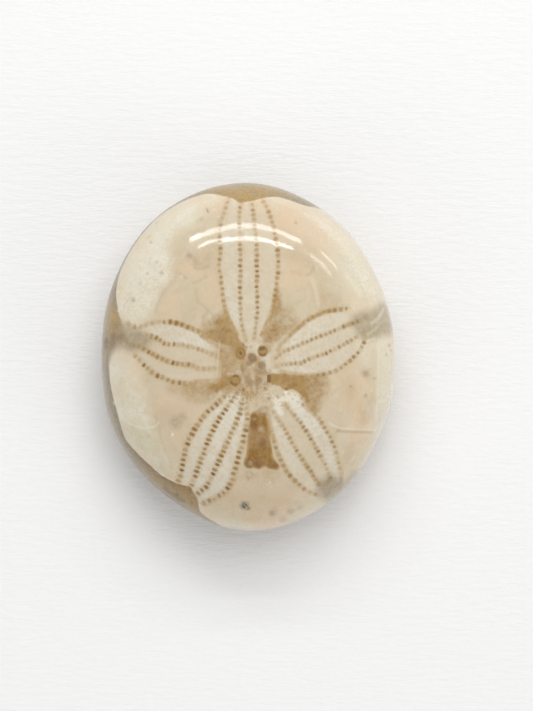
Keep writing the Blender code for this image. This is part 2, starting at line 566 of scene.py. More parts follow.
# brown stains between the petals
# outlines are (x, y, softness of the edge there); amount is how strong the stain is
stains = {
    "posterior": {
        "amount": 1.0,
        "outline": [(0.34, -4.76, 0.15), (0.92, -4.68, 0.3), (1.51, -4.76, 0.25), (1.76, -5.18, 0.25),
                    (1.79, -5.85, 0.2), (1.88, -6.36, 0.2), (1.86, -6.9, 0.12), (2.0, -7.6, 0.1),
                    (2.1, -8.38, 0.12), (2.35, -8.81, 0.12), (2.66, -9.23, 0.1), (2.4, -9.5, 0.1),
                    (1.85, -9.42, 0.12), (1.4, -9.25, 0.15), (0.84, -9.44, 0.1), (0.35, -9.3, 0.15),
                    (-0.1, -9.2, 0.2), (-0.3, -8.8, 0.15), (-0.12, -8.3, 0.15), (-0.05, -7.6, 0.15),
                    (0.0, -6.9, 0.12), (0.08, -6.19, 0.12), (0.2, -5.35, 0.12)],
    },
    "posteriorTop": {
        "amount": 0.15,
        "outline": [(0.7, -3.4, 0.4), (1.9, -3.6, 0.3), (2.1, -4.9, 0.2), (1.7, -5.2, 0.2), (0.5, -4.9, 0.3)],
    },
    "rightGold": {
        "amount": 0.75,
        "outline": [(1.93, -1.41, 0.1), (2.68, -1.45, 0.15), (3.27, -1.58, 0.3), (3.27, -2.42, 0.4),
                    (2.77, -2.46, 0.12), (2.26, -2.37, 0.1), (1.93, -2.25, 0.1)],
    },
    "rightStrong": {
        "amount": 0.88,
        "outline": [(2.68, -1.5, 0.3), (3.69, -1.45, 0.12), (4.61, -1.58, 0.3), (4.86, -2.17, 0.5),
                    (4.94, -3.01, 0.4),
                    (4.95, -3.59, 0.3), (4.69, -3.42, 0.12), (4.27, -3.0, 0.1), (3.69, -2.71, 0.1),
                    (3.18, -2.79, 0.1), (2.77, -2.5, 0.15)],
    },
    "rightOuter": {
        "amount": 0.5,
        "outline": [(4.36, -1.5, 0.2), (5.53, -1.41, 0.12), (6.63, -1.37, 0.15), (6.79, -1.75, 0.4),
                    (6.63, -2.51, 0.7),
                    (6.38, -3.35, 0.7), (6.04, -4.1, 0.5), (5.79, -4.77, 0.3), (5.28, -4.6, 0.15),
                    (4.86, -3.93, 0.1),
                    (4.61, -3.34, 0.2), (4.61, -2.42, 0.5)],
    },
    "upperLeft": {
        "amount": 0.8,
        "outline": [(-2.26, 3.11, 0.3), (-1.5, 3.11, 0.12), (-1.25, 2.52, 0.1), (-1.0, 1.93, 0.12),
                    (-0.67, 1.35, 0.15),
                    (-0.08, 0.8, 0.25), (-0.83, 0.85, 0.2), (-1.67, 0.93, 0.15), (-2.34, 1.1, 0.12),
                    (-2.93, 1.27, 0.12), (-3.43, 1.68, 0.2), (-3.09, 2.1, 0.4), (-2.68, 2.44, 0.35),
                    (-2.51, 2.86, 0.3)],
    },
    "upperLeftOuter": {
        "amount": 0.45,
        "outline": [(-1.95, 3.9, 0.3), (-1.67, 3.61, 0.12), (-1.25, 2.69, 0.1), (-1.33, 1.77, 0.3),
                    (-2.67, 1.43, 0.3),
                    (-3.68, 1.85, 0.15), (-4.0, 2.2, 0.3), (-3.5, 2.8, 0.6), (-2.7, 3.2, 0.5),
                    (-2.3, 3.7, 0.35)],
    },
    "upperRightBand": {
        "amount": 0.45,
        "outline": [(2.1, 5.88, 0.15), (2.52, 5.88, 0.3), (2.77, 5.04, 0.4), (2.85, 4.03, 0.4),
                    (2.35, 3.53, 0.3),
                    (1.84, 3.44, 0.12), (1.84, 4.28, 0.1), (2.01, 5.12, 0.1)],
    },
    "upperRight": {
        "amount": 0.36,
        "outline": [(1.84, 3.61, 0.12), (2.51, 4.03, 0.5), (3.3, 4.2, 0.7), (3.9, 3.5, 0.7), (4.3, 2.95, 0.4),
                    (4.02, 2.52, 0.2), (3.27, 1.94, 0.15), (2.51, 1.27, 0.2), (1.84, 0.93, 0.3),
                    (1.26, 1.26, 0.2),
                    (1.34, 1.85, 0.12), (1.59, 2.52, 0.12), (1.76, 3.11, 0.12)],
    },
    "upperRightDeep": {
        "amount": 0.25,
        "outline": [(1.68, 2.6, 0.3), (2.35, 3.02, 0.4), (3.02, 2.69, 0.4), (3.02, 2.1, 0.3),
                    (2.35, 1.52, 0.3),
                    (1.68, 1.18, 0.3), (1.43, 1.68, 0.2)],
    },
    "lowerLeftBlob": {
        "amount": 0.7,
        "outline": [(-3.26, -2.08, 0.3), (-2.76, -1.96, 0.2), (-2.26, -2.17, 0.25), (-2.17, -2.67, 0.3),
                    (-2.59, -3.05, 0.3), (-3.18, -2.92, 0.4), (-3.43, -2.5, 0.4)],
    },
    "lowerLeftLink": {
        "amount": 0.55,
        "outline": [(-2.34, -1.75, 0.2), (-1.5, -1.66, 0.15), (-1.42, -2.25, 0.2), (-1.84, -2.58, 0.3),
                    (-2.42, -2.5, 0.3)],
    },
    "lowerLeftFaint": {
        "amount": 0.3,
        "outline": [(-4.44, -2.17, 0.3), (-3.35, -2.33, 0.4), (-2.84, -3.0, 0.4), (-3.35, -3.67, 0.6),
                    (-4.35, -3.51, 0.9), (-5.19, -3.01, 0.9), (-5.19, -2.42, 0.5)],
    },
    "apex": {
        "amount": 0.36,
        "outline": [(-2.6, 0.9, 0.3), (-1.33, 1.0, 0.3), (-0.25, 0.93, 0.3), (0.17, 0.34, 0.2),
                    (1.18, -0.08, 0.2),
                    (1.68, -0.83, 0.15), (2.0, -1.33, 0.15), (1.85, -2.34, 0.3), (1.18, -3.0, 0.4),
                    (0.17, -3.5, 0.5),
                    (-1.0, -3.34, 0.4), (-2.0, -2.84, 0.3), (-2.67, -2.0, 0.2), (-2.51, -0.83, 0.08),
                    (-2.59, 0.1, 0.1)],
    },
    "apexLeft": {
        "amount": 0.12,
        "outline": [(-2.42, -0.84, 0.07), (-1.92, -0.83, 0.1), (-1.42, -0.91, 0.15), (-1.25, -1.25, 0.2),
                    (-1.67, -1.71, 0.2), (-2.55, -1.83, 0.07)],
    },
}
# tinted zones of the shell: (strength, softness of the edge, outline)
tints = {
    "pink": {
        "upperLeftInner": (0.7, 0.35, [
            (-5.98, 7.92), (-5.05, 8.17), (-4.2, 7.91), (-3.44, 7.06), (-4.03, 6.39), (-4.62, 6.39),
            (-5.21, 6.73), (-5.89, 7.07)]),
        "upperLeftEdge": (0.7, 0.4, [
            (-6.56, 5.81), (-5.88, 5.72), (-5.71, 4.71), (-6.04, 3.2), (-7.65, 3.12), (-7.57, 4.21),
            (-7.23, 5.05)]),
        "besideFront": (0.55, 0.4, [
            (-4.03, 7.4), (-2.69, 7.39), (-2.6, 5.54), (-2.43, 4.2), (-3.52, 4.53), (-4.02, 5.54)]),
        "aboveArcsRight": (0.8, 0.9, [
            (2.44, 12.1), (4.39, 12.31), (6.6, 11.13), (7.17, 9.14), (5.89, 8.95), (4.38, 9.96),
            (2.61, 10.8)]),
        "rightOfFront": (0.7, 0.5, [(2.77, 7.9), (4.37, 7.91), (5.04, 7.07), (4.87, 6.05), (3.02, 6.21)]),
        "lowerLeft": (0.5, 0.5, [
            (-7.73, -2.51), (-6.38, -2.93), (-5.2, -3.51), (-4.02, -4.1), (-4.36, -5.19), (-5.04, -6.2),
            (-5.55, -7.56), (-6.25, -8.93), (-6.92, -8.08), (-7.33, -6.9), (-7.66, -5.54), (-8.08, -4.11)]),
        "rightTan": (0.6, 0.6, [(7.47, -1.33), (9.6, -0.66), (10.12, -2.02), (8.75, -3.69), (7.73, -3.69)]),
        "belowCrack": (0.6, 0.4, [(8.94, -6.41), (10.16, -6.44), (9.83, -7.46), (8.78, -7.6)]),
        "rear": (0.7, 0.7, [(2.61, -11.46), (4.38, -11.31), (4.9, -12.2), (3.54, -12.79), (2.35, -12.42)]),
        "rearLeft": (0.5, 0.7, [
            (-2.21, -11.98), (-0.68, -10.59), (0.5, -10.93), (0.33, -12.14), (-1.37, -12.68)]),
    },
    "olive": {
        "upperLeftPatch": (0.4, 0.5, [
            (-7.22, 10.52), (-6.45, 11.02), (-5.93, 10.66), (-6.26, 9.8), (-6.93, 9.21), (-7.28, 9.48)]),
        "upperLeftLow": (0.65, 0.8, [
            (-10.97, 4.76), (-10.01, 5.94), (-8.87, 5.58), (-7.58, 5.56), (-7.83, 4.21), (-8.25, 3.12),
            (-10.15, 3.05), (-10.77, 3.74)]),
        "upperLeftWedge": (0.25, 0.6, [
            (-5.89, 6.82), (-5.21, 6.48), (-4.36, 6.05), (-4.19, 4.7), (-3.35, 3.69), (-4.02, 3.03),
            (-6.04, 3.11), (-5.71, 4.71), (-5.71, 5.72)]),
        "rightOfRay": (0.5, 0.7, [
            (6.98, 6.75), (7.74, 6.08), (8.59, 5.58), (8.68, 4.98), (7.91, 4.98), (7.15, 5.73)]),
        "upperRightRim": (0.5, 0.8, [
            (8.29, 8.56), (9.32, 7.82), (9.81, 6.02), (10.5, 5.1), (9.46, 5.59), (8.61, 7.11)]),
        "rightMiddle": (0.6, 0.5, [
            (10.2, 0.94), (10.9, 0.94), (10.99, -1.34), (10.91, -3.55), (10.39, -3.2), (10.2, -1.17)]),
        "lowerLeftPale": (0.75, 0.5, [
            (-10.81, -5.77), (-9.13, -5.99), (-7.67, -5.8), (-7.25, -7.07), (-6.59, -8.59), (-5.92, -9.79),
            (-7.3, -9.82), (-8.66, -8.46), (-10.04, -7.3)]),
        "leftMiddle": (0.35, 0.6, [
            (-11.57, -2.37), (-10.67, -2.02), (-9.1, -2.35), (-8.59, -3.36), (-9.98, -4.05),
            (-11.22, -3.89)]),
        "belowCrack": (0.7, 0.5, [(8.1, -8.1), (9.49, -8.14), (9.71, -9.22), (8.83, -9.69), (8.2, -9.31)]),
        "rearBelow": (0.5, 0.8, [
            (-3.65, -12.18), (-2.21, -12.69), (-0.69, -13.2), (-1.97, -13.58), (-3.42, -13.16)]),
        "rearRight": (0.6, 0.6, [(4.48, -12.36), (5.92, -11.96), (6.03, -12.7), (4.4, -13.36),
                                 (3.55, -13.7)]),
        "frontFootRight": (0.3, 0.3, [
            (2.01, 5.37), (3.1, 5.37), (4.36, 4.7), (5.87, 3.95), (4.36, 3.19), (3.1, 2.86), (2.35, 4.28)]),
    },
    "deep": {
        "apex": (1.0, 0.3, [
            (-2.6, 0.9), (-1.33, 1.0), (-0.25, 0.93), (0.17, 0.34), (1.18, -0.08), (1.68, -0.83),
            (2.0, -1.33),
            (1.85, -2.34), (1.18, -3.0), (0.17, -3.5), (-1.0, -3.34), (-2.0, -2.84), (-2.67, -2.0),
            (-2.55, -0.8)]),
        "tanRightOne": (0.5, 0.5, [(8.23, -2.01), (9.26, -2.01), (9.43, -2.86), (8.75, -3.53),
                                   (8.15, -3.02)]),
        "tanRightTwo": (0.5, 0.6, [(9.44, -3.7), (10.74, -3.55), (10.85, -5.08), (9.8, -5.74), (9.1, -5.39)]),
        "tanRightThree": (0.6, 0.35, [(9.68, -0.92), (10.29, -1.0), (10.29, -1.76), (9.6, -1.84)]),
        "byRay": (0.7, 0.5, [
            (5.96, 6.06), (6.55, 5.56), (7.4, 4.72), (7.31, 4.21), (6.04, 3.95), (5.79, 4.71)]),
        "underArcs": (0.5, 0.5, [
            (2.77, 9.17), (4.37, 9.1), (5.38, 7.92), (5.71, 6.73), (4.87, 7.91), (3.02, 8.41)]),
        "rearHalo": (0.8, 0.4, [
            (-0.42, -9.4), (0.67, -9.48), (1.85, -9.48), (2.52, -9.74), (2.18, -10.6), (0.58, -10.51),
            (-0.17, -10.33)]),
        "rearStreak": (0.7, 0.5, [
            (-1.37, -13.12), (0.15, -13.29), (2.02, -13.39), (1.68, -13.93), (-0.19, -13.83),
            (-1.21, -13.56)]),
        "lowerLeftTan": (0.35, 0.5, [
            (-7.91, -4.45), (-6.55, -4.19), (-5.2, -4.69), (-5.2, -5.7), (-6.39, -6.04), (-7.41, -5.54)]),
        "upperLeftTan": (0.5, 0.5, [(-4.21, 8.93), (-2.86, 9.26), (-2.6, 7.9), (-3.36, 7.4), (-4.12, 7.91)]),
        # painted shade: the rear middle of the top is darkened with the deep tan
        "rearPaintedShade": (0.35, 0.8, [
            (-3.5, -11.6), (0.0, -11.2), (3.6, -11.6), (4.2, -13.0), (0.0, -13.6), (-3.4, -13.0)]),
        "underCrack": (0.3, 0.8, [(7.2, -6.9), (10.4, -6.9), (9.8, -9.4), (7.8, -10.0)]),
        "lowerLeftStain": (1.0, 0.3, [
            (-6.8, -2.34), (-5.7, -2.42), (-4.02, -2.42), (-3.01, -2.58), (-3.43, -3.34), (-3.77, -3.93),
            (-4.86, -3.85), (-5.7, -3.43), (-6.71, -2.84)]),
    },
    "pale": {
        "rightRearInner": (0.85, 0.4, [
            (2.01, -3.09), (2.52, -3.34), (3.19, -3.0), (3.69, -2.92), (4.27, -3.26), (4.69, -3.67),
            (4.61, -4.18),
            (4.86, -4.6), (4.36, -4.76), (3.86, -4.43), (3.35, -3.93), (2.93, -4.01), (3.1, -4.68),
            (2.77, -5.1),
            (2.26, -4.68), (2.1, -4.09)]),
        "upperLeftHigh": (0.45, 0.5, [(-7.19, 8.79), (-6.5, 8.95), (-6.32, 8.35), (-6.92, 7.93),
                                      (-7.35, 8.28)]),
        "upperLeftSecond": (0.45, 0.5, [(-8.29, 7.78), (-7.69, 7.69), (-7.76, 7.09), (-8.28, 7.1)]),
        "upperLeftThird": (0.4, 0.6, [
            (-8.62, 6.68), (-8.11, 6.93), (-7.07, 6.57), (-6.9, 5.9), (-7.75, 5.73), (-8.53, 6.0)]),
        "upperLeftRim": (0.4, 0.4, [(-6.67, 9.04), (-6.34, 9.55), (-5.83, 9.63), (-6.16, 9.12),
                                    (-6.59, 8.78)]),
        "besideFrontRim": (0.5, 0.5, [(-4.78, 12.93), (-2.91, 13.52), (-2.22, 13.33), (-2.89, 12.71),
                                      (-4.42, 12.38)]),
        "aboveRightFront": (0.3, 0.5, [(7.73, 4.55), (8.25, 4.89), (9.28, 5.08), (9.19, 4.4), (8.24, 4.22)]),
        "belowStain": (0.6, 0.3, [(1.51, -10.59), (2.01, -10.42), (2.1, -11.03), (1.68, -11.02)]),
        "rightUpper": (0.25, 0.6, [(7.13, -2.34), (7.89, -2.01), (8.07, -3.35), (7.39, -3.69)]),
        "rightLower": (0.25, 0.6, [(6.97, -4.36), (8.24, -4.03), (8.59, -4.88), (7.91, -5.72),
                                   (6.97, -5.71)]),
        "upperRightRim": (0.5, 0.7, [
            (4.4, 12.67), (6.27, 11.84), (8.14, 10.05), (7.62, 9.85), (5.91, 11.02), (4.39, 11.87)]),
        "rightMargin": (0.4, 0.12, [
            (11.02, 1.62), (11.02, -0.33), (11.01, -2.02), (10.99, -3.81), (11.55, -3.9), (12.37, -3.87),
            (12.63, -2.49), (12.72, -0.34), (12.47, 1.55)]),
    },
    "cool": {
        "upperLeft": (1.0, 0.7, [
            (-11.4, 3.6), (-10.9, 5.6), (-9.6, 8.3), (-7.8, 10.7), (-5.6, 12.5), (-4.3, 12.9), (-4.6, 11.5),
            (-5.9, 10.6), (-6.5, 9.2), (-6.3, 7.9), (-6.6, 6.4), (-7.5, 5.2), (-8.0, 3.6), (-9.3, 2.9)]),
        "left": (1.0, 0.8, [
            (-12.2, -0.6), (-10.6, -0.8), (-9.2, -2.2), (-8.3, -4.3), (-7.9, -5.9), (-7.0, -7.8),
            (-6.1, -9.8),
            (-7.7, -9.6), (-9.6, -8.0), (-11.2, -5.2), (-12.2, -2.6)]),
        "right": (0.5, 0.7, [
            (9.8, 0.9), (11.9, 1.4), (12.5, -1.0), (12.1, -4.4), (10.6, -8.4), (9.0, -10.2), (8.6, -8.6),
            (9.9, -6.0), (10.6, -2.8)]),
        "upperRight": (0.7, 0.8, [
            (5.4, 12.4), (8.4, 10.6), (10.4, 7.6), (11.6, 5.0), (10.6, 4.7), (9.0, 5.6), (8.2, 7.4),
            (7.4, 9.2),
            (5.6, 11.2)]),
    },
    "grey": {
        "leftFrontEnd": (0.85, 0.5, [
            (-11.48, 3.07), (-10.76, 2.97), (-9.97, 2.54), (-9.1, 2.2), (-8.41, 1.69), (-8.07, 1.27),
            (-8.41, 0.85), (-9.1, 0.51), (-9.88, 0.35), (-10.67, 0.69), (-11.38, 0.43), (-12.32, 0.35),
            (-12.72, 1.39), (-12.35, 2.66)]),
        "rightFrontEnd": (0.82, 0.5, [
            (8.84, 3.46), (9.61, 3.81), (10.48, 3.99), (11.48, 4.61), (12.2, 4.06), (12.54, 3.11),
            (12.72, 2.08), (11.71, 1.79), (10.9, 1.58), (10.12, 1.36), (9.52, 1.61), (9.09, 2.03),
            (8.75, 2.79)]),
        "rightRearEnd": (1.0, 0.6, [
            (6.07, -10.56), (6.92, -10.06), (7.79, -10.35), (8.32, -10.46), (8.92, -9.96), (9.47, -9.75),
            (9.78, -9.99), (8.75, -11.37), (7.72, -12.41), (6.83, -12.61), (6.27, -12.07), (5.91, -11.34)]),
    },
}


def zoneMask(zone, spread=1.0):
    amount, edge, corners = zone
    return amount * outlineMask([(x, y, edge * spread) for x, y in corners])


def layered(zones, spread=1.0):
    return strongestOf(zoneMask(zone, spread) for zone in zones.values())


def summed(outlines):
    # zones that deepen each other where they overlap
    clear = np.ones(len(stone))
    for zone in outlines.values():
        clear *= 1 - zone["amount"] * outlineMask(zone["outline"])
    return 1 - clear


flankFade = (3.4, 1.0)  # lengths below the rim where such a zone has gone, and where it starts to go


def downTheFlank(values):
    # carries what a zone has at the rim on down the flank, fading out
    rings = values[1:-1].reshape(-1, dome["columns"])
    rimRing = np.flatnonzero(latitudeGrid[:, 0] >= 0)[-1]
    fade = smoothStep(*flankFade, ringLengths - rimLength)[:, None]
    flank = np.where((latitudeGrid[:, 0] < 0)[:, None], rings[rimRing] * fade, rings)
    return np.concatenate([values[:1], flank.ravel(), values[-1:]])


petalShield = 0.92  # how much of a stain the petals keep off, from a little way out of the apex
outsidePetal = 1 - petalShield * insidePetal * smoothStep(1.5, 2.8, reach)
fields["stain"] = summed(stains) * outsidePetal
tintSpreads = {"pink": 2.6, "olive": 2.4, "deep": 1.5}
fields["tints"] = np.stack([layered(tints[name], spread) for name, spread in tintSpreads.items()], -1)
fields["grey"] = downTheFlank(layered(tints["grey"]))
for margin in ("upperLeft", "upperRight"):  # the two upper margins are pale as well as cool
    tints["pale"][margin] = (0.55, *tints["cool"][margin][1:])
fields["pale"] = layered(tints["pale"])
fields["cool"] = layered(tints["cool"])
middleEdge = (10.6, 8.8)  # lengths from the crown where the tan middle has gone and where it starts to go
meanRadius = 13.5  # they hold for this plan radius and are scaled for the others
fields["middle"] = smoothStep(*middleEdge, reach / planRadius(azimuth) * meanRadius)
print("stains and patches laid out")


# the apex: plates with pale seams, and the four openings between the petals
apex = {
    "hollowShare": 0.7,  # of an opening's radii, the part inside its brown edge
    # strength, softness of the edge, outline
    "plates": {
        "sieve": (0.85, 0.08, [(0.13, 0.26), (0.53, 0.24), (0.72, -0.03), (0.76, -0.34), (0.46, -0.49),
                               (0.13, -0.41),
                               (0.03, -0.12)]),
        "sieveFoot": (0.45, 0.1, [(-0.16, -0.45), (0.17, -0.41), (0.55, -0.45), (0.34, -0.66), (0.05, -0.87),
                                  (-0.16, -0.66)]),
        "right": (0.7, 0.08, [(0.97, -0.45), (1.34, -0.45), (1.48, -0.74), (1.36, -1.08), (1.02, -1.08),
                              (0.82, -0.78)]),
        "rightFoot": (0.35, 0.12, [(0.72, -0.83), (1.01, -0.99), (1.51, -1.12), (1.34, -1.45), (0.92, -1.45),
                                   (0.67, -1.16)]),
        "left": (0.55, 0.08, [(-0.56, -0.64), (-0.4, -0.7), (-0.33, -0.99), (-0.31, -1.26), (-0.5, -1.29),
                              (-0.61, -0.99)]),
        "lowerLeft": (0.45, 0.1, [(-0.25, -1.62), (0.09, -1.6), (0.26, -1.91), (0.51, -2.08), (0.51, -2.37),
                                  (0.17, -2.42), (-0.16, -2.08)]),
        "lowerRight": (0.55, 0.08, [(0.72, -1.58), (1.05, -1.83), (1.18, -2.0), (0.97, -2.33), (0.67, -2.5),
                                    (0.59, -2.04)]),
    },
    # points, width, strength
    "seams": [
        ([(-0.37, -0.2), (-0.13, 0.3), (-0.08, 0.85), (-0.16, 1.26)], 0.26, 0.8),
        ([(0.3, 0.5), (0.3, 0.9), (0.5, 1.4)], 0.7, 0.55),
        ([(0.87, 0.01), (0.8, 0.6), (0.88, 1.1)], 0.24, 0.85),
        ([(0.9, -0.2), (1.25, -0.12), (1.68, 0.01), (1.7, -0.49), (1.72, -0.95), (2.01, -1.2),
          (2.93, -1.33)], 0.34, 0.9),
        ([(0.63, -0.56), (0.3, -0.78), (-0.04, -0.91)], 0.12, 0.7),
        ([(-0.41, -1.41), (-0.83, -1.29), (-1.33, -1.45), (-1.75, -1.58)], 0.26, 0.6),
        ([(-0.43, -1.66), (-0.4, -2.25), (-0.16, -2.67), (0.25, -2.75)], 0.2, 0.6),
        ([(0.21, -0.99), (0.38, -1.5), (0.55, -2.08), (0.55, -2.67), (0.76, -3.17)], 0.22, 0.5),
        ([(1.35, -1.5), (1.43, -2.0), (1.22, -2.5), (0.85, -3.0)], 0.3, 0.6),
    ],
    # each opening with the strengths of its fill and edge, a soft halo beside it as (x, y, radius, strength)
    # and dark lines as (points, width, strength)
    "openings": [
        {"centre": (-0.6, 0.28), "radii": (0.42, 0.5), "fill": 0.95, "edge": 0.65,
         "halo": (-0.97, 0.62, 0.5, 0.5),
         "lines": [([(-0.69, 0.47), (-0.6, 0.3), (-0.5, 0.12)], 0.13, 0.7)]},
        {"centre": (1.26, 0.47), "radii": (0.42, 0.45), "fill": 0.95, "edge": 0.6,
         "halo": (1.62, 0.62, 0.35, 0.45),
         "lines": [([(1.18, 0.82), (1.2, 0.66), (1.24, 0.5)], 0.4, 0.65),
                   ([(0.95, 0.3), (1.07, 0.15), (1.22, 0.1), (1.38, 0.14), (1.5, 0.26)], 0.14, 0.5)]},
        {"centre": (-1.04, -1.98), "radii": (0.46, 0.42), "fill": 0.9, "edge": 0.45,
         "halo": (-1.5, -1.9, 0.3, 0.5),
         "lines": [([(-1.25, -1.7), (-1.0, -1.6), (-0.75, -1.7)], 0.12, 0.5),
                   ([(-1.44, -2.05), (-1.32, -2.25), (-1.1, -2.36), (-0.85, -2.3)], 0.16, 0.5)]},
        {"centre": (1.8, -1.86), "radii": (0.16, 0.34), "fill": 0.9, "edge": 0.5,
         "halo": (2.2, -1.86, 0.4, 0.6),
         "lines": [([(1.76, -1.5), (1.77, -1.86), (1.76, -2.2)], 0.22, 0.65)]},
    ],
}


def laySpots(spots, edge=0.7):
    masks = (strength * spotMask((x, y), (radius, radius), edge=edge) for x, y, radius, strength in spots)
    return strongestOf(masks)


def layLines(lines, edge=0.1):
    return strongestOf(strength * lineMask(points, width, edge) for points, width, strength in lines)


def layOpening(opening):
    # dark lines, brown edge and gold fill of one opening, with the soft halo beside it
    centre, radii = opening["centre"], opening["radii"]
    whole = spotMask(centre, radii, edge=0.3)
    hollow = spotMask(centre, [radius * apex["hollowShare"] for radius in radii], edge=0.35)
    fill = np.maximum(whole * opening["fill"], laySpots([opening["halo"]], edge=0.4))
    return layLines(opening["lines"], 0.07), opening["edge"] * whole * (1 - hollow), fill


def layApex():
    dark, edges, fills = (strongestOf(masks) for masks in zip(*map(layOpening, apex["openings"])))
    fields["plates"] = layered(apex["plates"])
    fields["seams"] = layLines(apex["seams"], 0.09) * (1 - fills)
    fields["openings"] = np.stack([dark, edges, fills], -1)


layApex()
print("apex laid out")


